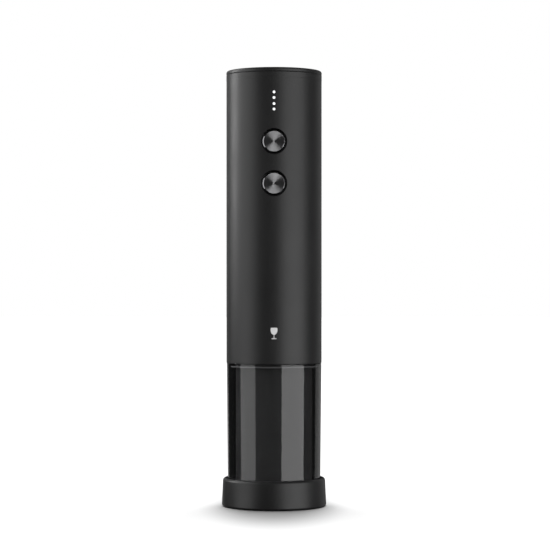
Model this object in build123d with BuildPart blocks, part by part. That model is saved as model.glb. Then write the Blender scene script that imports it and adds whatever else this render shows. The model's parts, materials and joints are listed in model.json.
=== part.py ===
"""Electric wine opener standing in its foil cutter: a cordless corkscrew with a three-stage gear train.

Millimetres, +Z up. The origin is the centre of the foil cutter's underside, and the buttons face -Y.
"""

import os
from math import acos, cos, isclose, pi, radians, sin, tan

from build123d import *

# ---- Driving dimensions -------------------------------------------------------------------------

# body tube and its lid
body_radius = 25.0
body_wall = 1.8
body_bottom = 75.15
body_top = 223.0
cap_radius = 25.05
lid_groove_height = 226.0
lid_groove_depth = 0.25
total_height = 228.1
lid_edge_radius = 1.0
cap_skirt_depth = 2.6
cap_skirt_wall = 1.5
parting_bevel = 0.05
body_bottom_edge = 0.35

# foil cutter, which is also the stand
base_bottom = 0.35
base_foot_radius = 27.4
base_shoulder_radius = 26.8
base_top = 15.0
base_top_edge_radius = 1.5
base_foot_edge_radius = 0.9
base_bore_radius = 24.8
base_deck_bottom = 8.8
base_deck_top = 10.2
base_recess_radius = 24.65

# rubber ring under the foil cutter
foot_inner_radius = 25.3
foot_outer_radius = 26.5
foot_height = 1.3

# cutting wheels and the two rings that hold them
wheel_count = 4
wheel_radius = 4.5
wheel_thickness = 0.9
wheel_height = 3.4
wheel_circle_radius = 18.7
wheel_bevel = 0.42
wheel_bevel_width = 1.2
axle_radius = 0.9
cutter_mouth_radius = 16.2
carrier_bottom = 0.8
lower_carrier_top = 2.6
upper_carrier_bottom = 4.2
carrier_top = 8.6
screw_circle_radius = 20.4

# smoked cup over the bottle's neck
cup_bottom = 10.6
cup_foot_radius = 24.25
cup_shoulder_radius = 24.85
cup_shoulder = 75.0
cup_shoulder_edge = 0.25
cup_shoulder_thickness = 1.0
cup_groove = 74.35
cup_groove_depth = 0.12
cup_foot_edge = 0.7
cup_wall = 1.9
cup_neck_radius = 23.1
cup_neck_inner_radius = 21.3
cup_top = 82.0
centring_ring_radius = 22.8
centring_ring_bottom = 73.15
centring_ring_top = 73.9

# neck guide, which centres the bottle, and the cork's chamber above it
neck_guide_radius = 20.0
neck_guide_wall = 1.4
neck_guide_bottom = 10.8
neck_guide_top = 80.0
mouth_radius = 15.75
mouth_top = 15.2
mouth_bevel = 0.6
rib_count = 8
rib_radius = 15.95
rib_thickness = 1.2
lip_stop = 57.8
cork_guide_bottom = 60.0
cork_guide_top = 104.9
cork_radius = 12.6
cork_guide_wall = 1.6

# worm
worm_tip = 20.6
worm_pitch = 9.5
worm_wire_radius = 1.35
worm_mean_radius = 3.1
worm_point_length = 5.5
hub_radius = 6.0
hub_bottom = 100.0
hub_top = 107.2

# gear train: three alike stages, numbered down from the motor
module = 0.7
sun_teeth = 12
planet_teeth = 12
ring_teeth = 36
pressure_angle = radians(20)
backlash = 0.16
addendum = 0.8 * module
ring_addendum = 0.6 * module
dedendum = 1.1 * module
planet_count = 3
gear_width = 4.6
stage_height = 6.6
output_gears_bottom = 111.8
carrier_gap = 0.4
carrier_thickness = 1.2
carrier_radius = 10.6
pin_radius = 1.0
running_clearance = 0.08
output_shaft_radius = 4.0
output_shaft_bottom = 101.5
gearbox_radius = 15.5
gearbox_bottom = 107.5
gearbox_ring_bottom = 110.0
gearbox_ring_top = 130.4
gearbox_top = 132.2
bearing_radius = 6.5
lug_circle_radius = 17.2
lug_radius = 2.4
gearbox_screw_radius = 1.0

# motor
motor_radius = 12.2
motor_wall = 0.9
motor_top = 159.5
end_bell_top = 162.5
shaft_radius = 1.0
shaft_top = 162.2
motor_bearing_radius = 2.6
armature_radius = 8.4
armature_bottom = 138.0
armature_top = 154.0

# frame halves that carry everything inside the body tube
frame_radius = 22.9
frame_wall = 1.5
frame_bottom = 82.2
frame_top = 220.0
frame_screw_x = 16.9
frame_screw_radius = 1.25
frame_screw_heights = (95.0, 155.0)
boss_radius = 2.5
boss_reach = 8.0
bulkhead_thickness = 2.0
gearbox_bulkhead = 118.0
motor_bulkhead = 146.0
cell_bulkhead = 164.6
cell_bulkhead_thickness = 1.6
cell_bulkhead_hole = 7.5
saddle_heights = (178.0, 206.0)
saddle_thickness = 2.0
board_window = (25.0, 16.0)
socket_window = (15.0, 13.0, 7.2)

# electronics
button_heights = {"up": 189.9, "down": 168.3}
button_hole_radius = 6.7
button_radius = 6.12
button_bevel_width = 0.8
button_bevel_depth = 0.76
button_flange_radius = 7.4
button_flange_back = 20.6
button_flange_front = 21.6
button_stem_radius = 1.7
button_stem_length = 2.0
button_face = 24.6
button_disc_radius = 5.25
button_disc_depth = 0.5
indicator_heights = (215.2, 212.3, 209.2, 206.4)
indicator_radius = 0.7
board_front = 15.6
board_thickness = 1.6
board_bottom = 160.0
board_top = 217.6
cell_radius = 7.1
cell_bottom = 168.0
cell_length = 50.0
cell_y = 8.5
socket_height = 172.2
socket_width = 9.0
socket_thickness = 3.2
socket_depth = 7.2
lead_radius = 0.6

# ---- Worked-out dimensions ----------------------------------------------------------------------

body_inner_radius = body_radius - body_wall
sun_pitch_radius = module * sun_teeth / 2
planet_pitch_radius = module * planet_teeth / 2
ring_pitch_radius = module * ring_teeth / 2
planet_circle_radius = sun_pitch_radius + planet_pitch_radius
stage_gears_bottom = {stage: output_gears_bottom + (3 - stage) * stage_height for stage in (1, 2, 3)}


# ---- Helpers ------------------------------------------------------------------------------------


def annulus(outer_radius, inner_radius):
    """Draw a ring in the sketch being built."""
    Circle(outer_radius)
    Circle(inner_radius, mode=Mode.SUBTRACT)


def place_round(radius, share, height):
    """A level plane whose centre is this far from the Z axis, at a share of a turn round it."""
    return Plane((radius * cos(2 * pi * share), radius * sin(2 * pi * share), height))


def rims(piece, radius, height):
    """The circular edges of a part that have this radius and lie level at this height."""
    return piece.edges().filter_by(
        lambda edge: edge.geom_type == GeomType.CIRCLE
        and isclose(edge.radius, radius, abs_tol=0.01)
        and isclose(edge.arc_center.Z, height, abs_tol=0.01)
        and abs(edge.normal().Z) > 0.9
    )


def involute(angle):
    """The involute function, which gives how far a flank has turned at a pressure angle."""
    return tan(angle) - angle


def gear_outline(teeth, inner_radius, outer_radius, thinning):
    """The corners of a gear's outline, with a tooth on the X axis: the space cut for a ring gear when
    thinning is negative."""
    pitch_radius = module * teeth / 2
    flank_base = pitch_radius * cos(pressure_angle)
    half_tooth = pi / (2 * teeth) - thinning / (2 * pitch_radius) + involute(pressure_angle)
    start = max(flank_base, inner_radius)
    radii = [start + (outer_radius - start) * step / 3 for step in range(4)]
    if inner_radius < flank_base:
        radii.insert(0, inner_radius)
    flank = [
        (radius, half_tooth - involute(acos(min(1.0, flank_base / radius)))) for radius in radii
    ]
    tooth = [(radius, -turn) for radius, turn in flank]
    tooth += [(radius, turn) for radius, turn in reversed(flank)]
    return [
        (radius * cos(turn + 2 * pi * n / teeth), radius * sin(turn + 2 * pi * n / teeth))
        for n in range(teeth)
        for radius, turn in tooth
    ]


def draw_gear(teeth, inner_radius, outer_radius, thinning, turned=0.0, mode=Mode.ADD):
    """Draw a gear's outline in the sketch being built, turned by some degrees."""
    with BuildLine(Rotation(0, 0, turned)) as outline:
        Polyline(*gear_outline(teeth, inner_radius, outer_radius, thinning), close=True)
    make_face(outline.edges(), mode=mode)


def draw_pinion():
    """Draw a sun gear, with a tooth on the X axis."""
    draw_gear(sun_teeth, sun_pitch_radius - dedendum, sun_pitch_radius + addendum, backlash / 2)


def planet_places(radius=planet_circle_radius):
    """Where the planets' pins stand round the Z axis."""
    return PolarLocations(radius, planet_count, rotate=False)


# ---- Foil cutter --------------------------------------------------------------------------------

with BuildPart() as base_shell:
    with BuildSketch(Plane.XZ):
        with BuildLine():
            Polyline(
                (0, base_deck_bottom),
                (base_bore_radius, base_deck_bottom),
                (base_bore_radius, base_bottom),
                (base_foot_radius, base_bottom),
                (base_foot_radius, base_bottom + base_foot_edge_radius + 0.2),
                (base_shoulder_radius, base_top),
                (base_recess_radius, base_top),
                (base_recess_radius, base_deck_top),
                (0, base_deck_top),
                close=True,
            )
        make_face()
    revolve(axis=Axis.Z)
    fillet(rims(base_shell, base_shoulder_radius, base_top), base_top_edge_radius)
    fillet(rims(base_shell, base_foot_radius, base_bottom), base_foot_edge_radius)
    chamfer(rims(base_shell, base_recess_radius, base_top), 0.4)
    # groove for the rubber ring
    with BuildSketch(Plane.XY):
        annulus(foot_outer_radius, foot_inner_radius)
    extrude(amount=foot_height, mode=Mode.SUBTRACT)

with BuildPart() as foot_ring:
    with BuildSketch():
        annulus(foot_outer_radius, foot_inner_radius)
    extrude(amount=foot_height)

with BuildPart() as wheel_carrier_lower:
    with BuildSketch(Plane.XY.offset(carrier_bottom)):
        annulus(base_bore_radius, cutter_mouth_radius)
    extrude(amount=lower_carrier_top - carrier_bottom)
    chamfer(rims(wheel_carrier_lower, cutter_mouth_radius, carrier_bottom), 0.8)
    with PolarLocations(wheel_circle_radius, wheel_count):
        Hole(axle_radius)
    with BuildSketch(Plane.XY.offset(carrier_bottom)):
        with PolarLocations(screw_circle_radius, wheel_count, start_angle=45):
            Circle(1.25)
    extrude(amount=lower_carrier_top - carrier_bottom, mode=Mode.SUBTRACT)
    with BuildSketch(Plane.XY.offset(carrier_bottom)):
        with PolarLocations(screw_circle_radius, wheel_count, start_angle=45):
            Circle(2.3)
    extrude(amount=1.1, mode=Mode.SUBTRACT)

with BuildPart() as wheel_carrier_upper:
    with BuildSketch(Plane.XY.offset(lower_carrier_top)):
        annulus(base_bore_radius, cutter_mouth_radius)
    extrude(amount=carrier_top - lower_carrier_top)
    # pockets that the cutting wheels turn in, open to the mouth
    with BuildSketch(Plane.XY.offset(lower_carrier_top)):
        with PolarLocations(wheel_circle_radius, wheel_count):
            Circle(wheel_radius + 0.6)
        with PolarLocations(wheel_circle_radius - wheel_radius / 2, wheel_count):
            Rectangle(wheel_radius, 2 * (wheel_radius + 0.6))
    extrude(amount=upper_carrier_bottom - lower_carrier_top, mode=Mode.SUBTRACT)
    with BuildSketch(Plane.XY.offset(upper_carrier_bottom)):
        with PolarLocations(wheel_circle_radius, wheel_count):
            Circle(axle_radius)
    extrude(amount=2.0, mode=Mode.SUBTRACT)
    with BuildSketch(Plane.XY.offset(lower_carrier_top)):
        with PolarLocations(screw_circle_radius, wheel_count, start_angle=45):
            Circle(1.25)
    extrude(amount=4.6, mode=Mode.SUBTRACT)

with BuildPart() as wheel_axles:
    with BuildSketch(Plane.XY.offset(carrier_bottom + 0.2)):
        with PolarLocations(wheel_circle_radius, wheel_count):
            Circle(axle_radius)
    extrude(amount=upper_carrier_bottom + 2.0 - carrier_bottom - 0.2)

with BuildPart() as base_screws:
    with BuildSketch(Plane.XY.offset(carrier_bottom + 0.1)):
        with PolarLocations(screw_circle_radius, wheel_count, start_angle=45):
            Circle(2.2)
    extrude(amount=1.0)
    with BuildSketch(Plane.XY.offset(carrier_bottom + 1.1)):
        with PolarLocations(screw_circle_radius, wheel_count, start_angle=45):
            Circle(1.25)
    extrude(amount=5.2)
    with BuildSketch(Plane.XY.offset(carrier_bottom + 0.1)):
        with PolarLocations(screw_circle_radius, wheel_count, start_angle=45):
            Rectangle(2.6, 0.6)
            Rectangle(0.6, 2.6)
    extrude(amount=0.6, mode=Mode.SUBTRACT)

cutting_wheels = {}
for number in range(wheel_count):
    wheel_plane = place_round(
        wheel_circle_radius, number / wheel_count, wheel_height - wheel_thickness / 2
    )
    with BuildPart() as wheel:
        with BuildSketch(wheel_plane):
            annulus(wheel_radius, axle_radius + running_clearance)
        extrude(amount=wheel_thickness)
        rim_edges = wheel.edges().filter_by(GeomType.CIRCLE).sort_by(SortBy.RADIUS)[-2:]
        rim_face = wheel.faces().filter_by(GeomType.CYLINDER).sort_by(SortBy.AREA)[-1]
        chamfer(rim_edges, wheel_bevel, wheel_bevel_width, reference=rim_face)
    cutting_wheels[f"cutting_wheel_{number + 1}"] = wheel

# ---- Body tube, lid and cup ---------------------------------------------------------------------

with BuildPart() as body_sleeve:
    with BuildSketch(Plane.XY.offset(body_bottom)):
        annulus(body_radius, body_inner_radius)
    extrude(amount=body_top - body_bottom)
    chamfer(rims(body_sleeve, body_radius, body_top), parting_bevel)
    fillet(rims(body_sleeve, body_radius, body_bottom), body_bottom_edge)
    with BuildSketch(Plane.XZ):
        with Locations(*[(0, height) for height in button_heights.values()]):
            Circle(button_hole_radius)
        with Locations(*[(0, height) for height in indicator_heights]):
            Circle(indicator_radius)
    extrude(amount=body_radius + 1, mode=Mode.SUBTRACT)
    with BuildSketch(Plane.XZ):
        with Locations((0, socket_height)):
            RectangleRounded(socket_width + 1.2, socket_thickness + 1.2, 2.1)
    extrude(amount=-body_radius - 1, mode=Mode.SUBTRACT)

with BuildPart() as top_cap:
    with BuildSketch(Plane.XZ):
        with BuildLine():
            Polyline(
                (0, total_height),
                (cap_radius, total_height),
                (cap_radius, lid_groove_height + lid_groove_depth),
                (cap_radius - lid_groove_depth, lid_groove_height),
                (cap_radius, lid_groove_height - lid_groove_depth),
                (cap_radius, body_top),
                (body_inner_radius - 0.1, body_top),
                (body_inner_radius - 0.1, body_top - cap_skirt_depth),
                (body_inner_radius - 0.1 - cap_skirt_wall, body_top - cap_skirt_depth),
                (body_inner_radius - 0.1 - cap_skirt_wall, lid_groove_height),
                (0, lid_groove_height),
                close=True,
            )
        make_face()
    revolve(axis=Axis.Z)
    fillet(rims(top_cap, cap_radius, total_height), lid_edge_radius)

with BuildPart() as clear_cup:
    with BuildSketch(Plane.XZ):
        with BuildLine():
            Polyline(
                (cup_foot_radius - cup_wall, cup_bottom),
                (cup_foot_radius, cup_bottom),
                (cup_shoulder_radius, cup_groove - cup_groove_depth),
                (cup_shoulder_radius - cup_groove_depth, cup_groove),
                (cup_shoulder_radius, cup_groove + cup_groove_depth),
                (cup_shoulder_radius, cup_shoulder),
                (cup_neck_radius, cup_shoulder),
                (cup_neck_radius, cup_top),
                (cup_neck_inner_radius, cup_top),
                (cup_neck_inner_radius, cup_shoulder - cup_shoulder_thickness),
                (cup_shoulder_radius - cup_wall, cup_shoulder - cup_shoulder_thickness),
                close=True,
            )
        make_face()
    revolve(axis=Axis.Z)
    fillet(rims(clear_cup, cup_shoulder_radius, cup_shoulder), cup_shoulder_edge)
    fillet(clear_cup.edges().group_by(Axis.Z)[0], cup_foot_edge)

with BuildPart() as centring_ring:
    with BuildSketch(Plane.XY.offset(centring_ring_bottom)):
        annulus(centring_ring_radius, neck_guide_radius)
    extrude(amount=centring_ring_top - centring_ring_bottom)

with BuildPart() as neck_guide:
    with BuildSketch(Plane.XY.offset(neck_guide_bottom)):
        annulus(neck_guide_radius, mouth_radius)
    extrude(amount=mouth_top - neck_guide_bottom)
    with BuildSketch(Plane.XY.offset(mouth_top)):
        annulus(neck_guide_radius, neck_guide_radius - neck_guide_wall)
    extrude(amount=neck_guide_top - mouth_top)
    with BuildSketch(Plane.XY.offset(mouth_top)):
        with PolarLocations((rib_radius + neck_guide_radius - 0.7) / 2, rib_count, start_angle=22.5):
            Rectangle(neck_guide_radius - 0.7 - rib_radius, rib_thickness)
    extrude(amount=lip_stop - 0.4 - mouth_top)
    # flange that the frame holds down on the cup
    with BuildSketch(Plane.XY.offset(neck_guide_top - 2)):
        annulus(cup_neck_inner_radius, neck_guide_radius - neck_guide_wall)
    extrude(amount=2)
    chamfer(rims(neck_guide, mouth_radius, neck_guide_bottom), mouth_bevel)
    fillet(rims(neck_guide, neck_guide_radius, neck_guide_bottom), 0.6)

with BuildPart() as cork_guide:
    with BuildSketch(Plane.XY.offset(cork_guide_bottom)):
        annulus(cork_radius + cork_guide_wall, cork_radius)
    extrude(amount=cork_guide_top - cork_guide_bottom)
    with BuildSketch(Plane.XY.offset(cork_guide_bottom)):
        annulus(neck_guide_radius - neck_guide_wall, cork_radius)
    extrude(amount=2)
    with BuildSketch(Plane.XY.offset(cork_guide_bottom)):
        with PolarLocations(cork_radius + cork_guide_wall + 1.9, 6):
            Rectangle(4.4, 1.4)
    extrude(amount=neck_guide_top - cork_guide_bottom)
    with BuildSketch(Plane.XY.offset(neck_guide_top)):
        annulus(cup_neck_inner_radius, cork_radius)
    extrude(amount=frame_bottom - neck_guide_top)
    chamfer(rims(cork_guide, cork_radius, cork_guide_bottom), 0.7)

with BuildPart() as lip_stop_pad:
    with BuildSketch(Plane.XY.offset(lip_stop)):
        annulus(neck_guide_radius - neck_guide_wall - 0.3, cork_radius + 0.4)
    extrude(amount=cork_guide_bottom - lip_stop)
    fillet(lip_stop_pad.edges().group_by(Axis.Z)[0], 0.6)

# ---- Worm and its drive -------------------------------------------------------------------------

with BuildPart() as worm:
    helix_bottom = worm_tip + worm_point_length * 0.25
    with BuildLine() as worm_path:
        Helix(worm_pitch, hub_bottom + 3 - helix_bottom, worm_mean_radius, (0, 0, helix_bottom))
    with BuildSketch(Plane(worm_path.line @ 0, z_dir=worm_path.line % 0)):
        Circle(worm_wire_radius)
    sweep(path=worm_path.line, is_frenet=True)
    # the point carries on straight from the last turn
    point_end = Plane(worm_path.line @ 0, z_dir=-(worm_path.line % 0))
    with BuildSketch(point_end):
        Circle(worm_wire_radius)
    with BuildSketch(point_end.offset(worm_point_length)):
        Circle(0.15)
    loft()

with BuildPart() as worm_hub:
    with BuildSketch(Plane.XY.offset(hub_bottom)):
        Circle(hub_radius)
    extrude(amount=hub_top - hub_bottom)
    chamfer(rims(worm_hub, hub_radius, hub_bottom), 1.2)
    with BuildSketch(Plane.XY.offset(hub_top)):
        Circle(output_shaft_radius)
    extrude(amount=output_shaft_bottom + 2 - hub_top, mode=Mode.SUBTRACT)


def add_carrier(gears_bottom):
    """Add a planet carrier's plate and its pins to the part being built."""
    with BuildSketch(Plane.XY.offset(gears_bottom - carrier_gap - carrier_thickness)) as plate:
        Circle(carrier_radius)
    extrude(plate.sketch, amount=carrier_thickness)
    with BuildSketch(Plane.XY.offset(gears_bottom - carrier_gap)) as pins:
        with planet_places():
            Circle(pin_radius)
    extrude(pins.sketch, amount=gear_width + carrier_gap + 0.2)


with BuildPart() as output_carrier:
    add_carrier(stage_gears_bottom[3])
    with BuildSketch(Plane.XY.offset(output_shaft_bottom + 2)):
        Circle(output_shaft_radius)
    extrude(amount=output_gears_bottom - carrier_gap - carrier_thickness - output_shaft_bottom - 2)

carriers = {}
for stage in (1, 2):
    with BuildPart() as carrier:
        add_carrier(stage_gears_bottom[stage])
        with BuildSketch(Plane.XY.offset(stage_gears_bottom[stage + 1])):
            draw_pinion()
        extrude(amount=stage_height - carrier_gap - carrier_thickness)
    carriers[f"carrier_{stage}"] = carrier

planets = {}
for stage in (1, 2, 3):
    for number in range(planet_count):
        planet_plane = place_round(
            planet_circle_radius, number / planet_count, stage_gears_bottom[stage]
        )
        with BuildPart() as planet:
            with BuildSketch(planet_plane):
                draw_gear(
                    planet_teeth,
                    planet_pitch_radius - dedendum,
                    planet_pitch_radius + addendum,
                    backlash / 2,
                    turned=180 / planet_teeth,
                )
                Circle(pin_radius + running_clearance, mode=Mode.SUBTRACT)
            extrude(amount=gear_width)
        planets[f"planet_{stage}{'abc'[number]}"] = planet

# ---- Gearbox ------------------------------------------------------------------------------------


def draw_gearbox_outline():
    """Draw the gearbox's round outline with its three screw lugs."""
    Circle(gearbox_radius)
    with planet_places(lug_circle_radius):
        Circle(lug_radius)


def draw_gearbox_screws(radius, mode=Mode.ADD):
    """Draw a circle at each of the gearbox's screws."""
    with planet_places(lug_circle_radius):
        Circle(radius, mode=mode)


with BuildPart() as gearbox_ring:
    with BuildSketch(Plane.XY.offset(gearbox_ring_bottom)):
        draw_gearbox_outline()
        draw_gear(
            ring_teeth,
            ring_pitch_radius - ring_addendum,
            ring_pitch_radius + dedendum,
            -backlash / 2,
            turned=180 / ring_teeth,
            mode=Mode.SUBTRACT,
        )
        draw_gearbox_screws(gearbox_screw_radius, Mode.SUBTRACT)
    extrude(amount=gearbox_ring_top - gearbox_ring_bottom)

with BuildPart() as gearbox_output_plate:
    with BuildSketch(Plane.XY.offset(gearbox_bottom)):
        draw_gearbox_outline()
        Circle(bearing_radius, mode=Mode.SUBTRACT)
        draw_gearbox_screws(gearbox_screw_radius, Mode.SUBTRACT)
    extrude(amount=gearbox_ring_bottom - gearbox_bottom)

with BuildPart() as output_bearing:
    with BuildSketch(Plane.XY.offset(gearbox_bottom)):
        annulus(bearing_radius, output_shaft_radius + running_clearance)
    extrude(amount=gearbox_ring_bottom - gearbox_bottom)

with BuildPart() as gearbox_motor_plate:
    with BuildSketch(Plane.XY.offset(gearbox_ring_top)):
        draw_gearbox_outline()
        Circle(sun_pitch_radius + addendum + 0.5, mode=Mode.SUBTRACT)
        draw_gearbox_screws(gearbox_screw_radius, Mode.SUBTRACT)
    extrude(amount=gearbox_top - gearbox_ring_top)

with BuildPart() as gearbox_screws:
    with BuildSketch(Plane.XY.offset(gearbox_bottom)):
        draw_gearbox_screws(gearbox_screw_radius)
    extrude(amount=gearbox_top - gearbox_bottom)
    with BuildSketch(Plane.XY.offset(gearbox_top)):
        draw_gearbox_screws(gearbox_screw_radius * 1.9)
    extrude(amount=1.3)
    with BuildSketch(Plane.XY.offset(gearbox_top + 1.3)):
        with planet_places(lug_circle_radius):
            Rectangle(2.6, 0.5)
            Rectangle(0.5, 2.6)
    extrude(amount=-0.7, mode=Mode.SUBTRACT)

# ---- Motor --------------------------------------------------------------------------------------

with BuildPart() as motor_can:
    with BuildSketch(Plane.XY.offset(gearbox_top)):
        annulus(motor_radius, motor_bearing_radius)
    extrude(amount=1.2)
    with BuildSketch(Plane.XY.offset(gearbox_top)):
        annulus(motor_radius, motor_radius - motor_wall)
    extrude(amount=motor_top - gearbox_top)
    chamfer(rims(motor_can, motor_radius, gearbox_top), 0.5)

with BuildPart() as motor_end_bell:
    with BuildSketch(Plane.XY.offset(motor_top)):
        annulus(motor_radius, motor_bearing_radius)
    extrude(amount=end_bell_top - motor_top)
    chamfer(rims(motor_end_bell, motor_radius, end_bell_top), 0.8)
    # tabs that the leads are soldered to
    with BuildSketch(Plane.XY.offset(end_bell_top)):
        with Locations((5, -4), (-5, -4)):
            Rectangle(0.6, 2.4)
    extrude(amount=1.8)

with BuildPart() as motor_bearings:
    with BuildSketch(Plane.XY.offset(gearbox_top)):
        annulus(motor_bearing_radius, shaft_radius + running_clearance)
    extrude(amount=2.2)
    with BuildSketch(Plane.XY.offset(motor_top)):
        annulus(motor_bearing_radius, shaft_radius + running_clearance)
    extrude(amount=end_bell_top - motor_top)

with BuildPart() as motor_magnets:
    with BuildSketch(Plane.XY.offset(armature_bottom - 1)):
        annulus(motor_radius - motor_wall, armature_radius + 0.6)
        Rectangle(8, 2 * motor_radius, mode=Mode.SUBTRACT)
    extrude(amount=armature_top - armature_bottom + 2)

with BuildPart() as motor_shaft:
    with BuildSketch(Plane.XY.offset(stage_gears_bottom[1])):
        Circle(shaft_radius)
    extrude(amount=shaft_top - stage_gears_bottom[1])

with BuildPart() as motor_pinion:
    with BuildSketch(Plane.XY.offset(stage_gears_bottom[1])):
        draw_pinion()
        Circle(shaft_radius, mode=Mode.SUBTRACT)
    extrude(amount=gear_width + 0.6)

with BuildPart() as armature_core:
    with BuildSketch(Plane.XY.offset(armature_bottom)):
        annulus(armature_radius, armature_radius - 1.4)
        with PolarLocations(armature_radius / 2, 5):
            Rectangle(armature_radius - 0.6, 2.6)
        Circle(3.2)
        with PolarLocations(armature_radius - 0.5, 5, start_angle=36):
            Rectangle(2.4, 1.2, mode=Mode.SUBTRACT)
        Circle(shaft_radius, mode=Mode.SUBTRACT)
    extrude(amount=armature_top - armature_bottom)

with BuildPart() as commutator:
    with BuildSketch(Plane.XY.offset(armature_top)):
        annulus(2.7, shaft_radius)
    extrude(amount=motor_top - armature_top - 0.5)

# ---- Frame --------------------------------------------------------------------------------------


def add_bulkhead(bottom, thickness, hole_radius):
    """Add a level plate with a round hole to the part being built."""
    with BuildSketch(Plane.XY.offset(bottom)) as plate:
        annulus(frame_radius - frame_wall / 2, hole_radius)
    extrude(plate.sketch, amount=thickness)


def frame_screw_places():
    """Where the frame's screws stand, seen from the front."""
    return Locations(*[(x, z) for x in (-frame_screw_x, frame_screw_x) for z in frame_screw_heights])


def frame_half(front):
    """Make one half of the frame: a half tube with plates across it and screw bosses."""
    side = -1 if front else 1
    with BuildPart() as half:
        with BuildSketch(Plane.XY.offset(frame_bottom)):
            annulus(frame_radius, frame_radius - frame_wall)
        extrude(amount=frame_top - frame_bottom)
        add_bulkhead(frame_bottom, bulkhead_thickness, cork_radius + cork_guide_wall)
        add_bulkhead(cork_guide_top, gearbox_bottom - cork_guide_top, hub_radius + 3)
        add_bulkhead(gearbox_bulkhead, bulkhead_thickness, lug_circle_radius + lug_radius)
        add_bulkhead(motor_bulkhead, bulkhead_thickness, motor_radius)
        add_bulkhead(cell_bulkhead, cell_bulkhead_thickness, cell_bulkhead_hole)
        with BuildSketch(Plane.XZ.offset(-boss_reach)) as bosses:
            with frame_screw_places():
                Circle(boss_radius)
        extrude(bosses.sketch, amount=2 * boss_reach)
        with BuildSketch(Plane.XZ.offset(-boss_reach)) as screw_holes:
            with frame_screw_places():
                Circle(frame_screw_radius)
        extrude(screw_holes.sketch, amount=2 * boss_reach, mode=Mode.SUBTRACT)
        if not front:
            # two saddles for the battery cell
            for bottom in saddle_heights:
                with BuildSketch(Plane.XY.offset(bottom)) as saddle:
                    Circle(frame_radius - frame_wall / 2)
                    with Locations((0, cell_y)):
                        Circle(cell_radius, mode=Mode.SUBTRACT)
                    with Locations((0, cell_y - frame_radius)):
                        Rectangle(3 * frame_radius, 2 * frame_radius, mode=Mode.SUBTRACT)
                extrude(saddle.sketch, amount=saddle_thickness)
        # the other half is cut away
        with Locations((0, -side * 30, (frame_bottom + frame_top) / 2)):
            Box(80, 60, 200, mode=Mode.SUBTRACT)
        if front:
            # window for the board, buttons and light guide
            with Locations((0, -22, (board_bottom + board_top) / 2)):
                Box(*board_window, board_top - board_bottom + 2.4, mode=Mode.SUBTRACT)
        else:
            with Locations((0, 22, socket_height)):
                Box(*socket_window, mode=Mode.SUBTRACT)
    return half


chassis_front = frame_half(front=True)
chassis_rear = frame_half(front=False)

with BuildPart() as chassis_screws:
    with BuildSketch(Plane.XZ.offset(1 - boss_reach)):
        with frame_screw_places():
            Circle(frame_screw_radius)
    extrude(amount=2 * boss_reach - 1)
    with BuildSketch(Plane.XZ.offset(boss_reach)):
        with frame_screw_places():
            Circle(frame_screw_radius + 0.75)
    extrude(amount=1.4)

# ---- Electronics --------------------------------------------------------------------------------

board_back = board_front - board_thickness

with BuildPart() as circuit_board:
    with BuildSketch(Plane.XZ.offset(board_back)):
        with Locations((0, (board_bottom + board_top) / 2)):
            RectangleRounded(22, board_top - board_bottom, 1.2)
    extrude(amount=board_thickness)

with BuildPart() as tact_switches:
    with BuildSketch(Plane.XZ.offset(board_front)):
        with Locations(*[(0, height) for height in button_heights.values()]):
            Rectangle(6, 6)
            Circle(1.9, mode=Mode.SUBTRACT)
    extrude(amount=3.4)

with BuildPart() as indicator_leds:
    with BuildSketch(Plane.XZ.offset(board_front)):
        with Locations(*[(0, height) for height in indicator_heights]):
            Rectangle(1.6, 1.2)
    extrude(amount=0.7)

with BuildPart() as light_guide:
    with BuildSketch(Plane.XZ.offset(board_front + 1.0)):
        with Locations((0, (indicator_heights[0] + indicator_heights[-1]) / 2)):
            RectangleRounded(3.4, 12.4, 1.0)
    extrude(amount=body_inner_radius - 0.3 - board_front - 1.0)
    with BuildSketch(Plane.XZ.offset(body_inner_radius - 0.3)):
        with Locations(*[(0, height) for height in indicator_heights]):
            Circle(indicator_radius)
    extrude(amount=body_wall + 0.3)

with BuildPart() as battery_cell:
    with BuildSketch(Plane.XY.offset(cell_bottom)):
        with Locations((0, cell_y)):
            Circle(cell_radius)
    extrude(amount=cell_length - 1)
    fillet(battery_cell.edges().filter_by(GeomType.CIRCLE), 0.6)
    with BuildSketch(Plane.XY.offset(cell_bottom + cell_length - 1)):
        with Locations((0, cell_y)):
            Circle(2.7)
    extrude(amount=1)

with BuildPart() as battery_tabs:
    with BuildSketch(Plane.XY.offset(cell_bottom)):
        with Locations((0, cell_y - 4)):
            Rectangle(5, 10)
    extrude(amount=-0.3)
    with BuildSketch(Plane.XY.offset(cell_bottom + cell_length)):
        with Locations((0, cell_y - 4)):
            Rectangle(5, 10)
    extrude(amount=0.3)

socket_back = body_inner_radius - 0.1 - socket_depth

with BuildPart() as charging_board:
    with BuildSketch(Plane.XY.offset(socket_height - socket_thickness / 2)):
        with Locations((0, socket_back + 3.2)):
            Rectangle(12, 6.4)
    extrude(amount=-1.0)

with BuildPart() as charging_socket:
    with BuildSketch(Plane.XZ.offset(-socket_back)):
        with Locations((0, socket_height)):
            RectangleRounded(socket_width, socket_thickness, 1.5)
    extrude(amount=-socket_depth)
    with BuildSketch(Plane.XZ.offset(-socket_back - 1.2)):
        with Locations((0, socket_height)):
            RectangleRounded(socket_width - 0.6, socket_thickness - 0.6, 1.2)
    extrude(amount=-socket_depth, mode=Mode.SUBTRACT)
    # tongue with the contacts
    with BuildSketch(Plane.XZ.offset(-socket_back - 1.2)):
        with Locations((0, socket_height)):
            Rectangle(6.6, 0.7)
    extrude(amount=1.4 - socket_depth)

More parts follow.
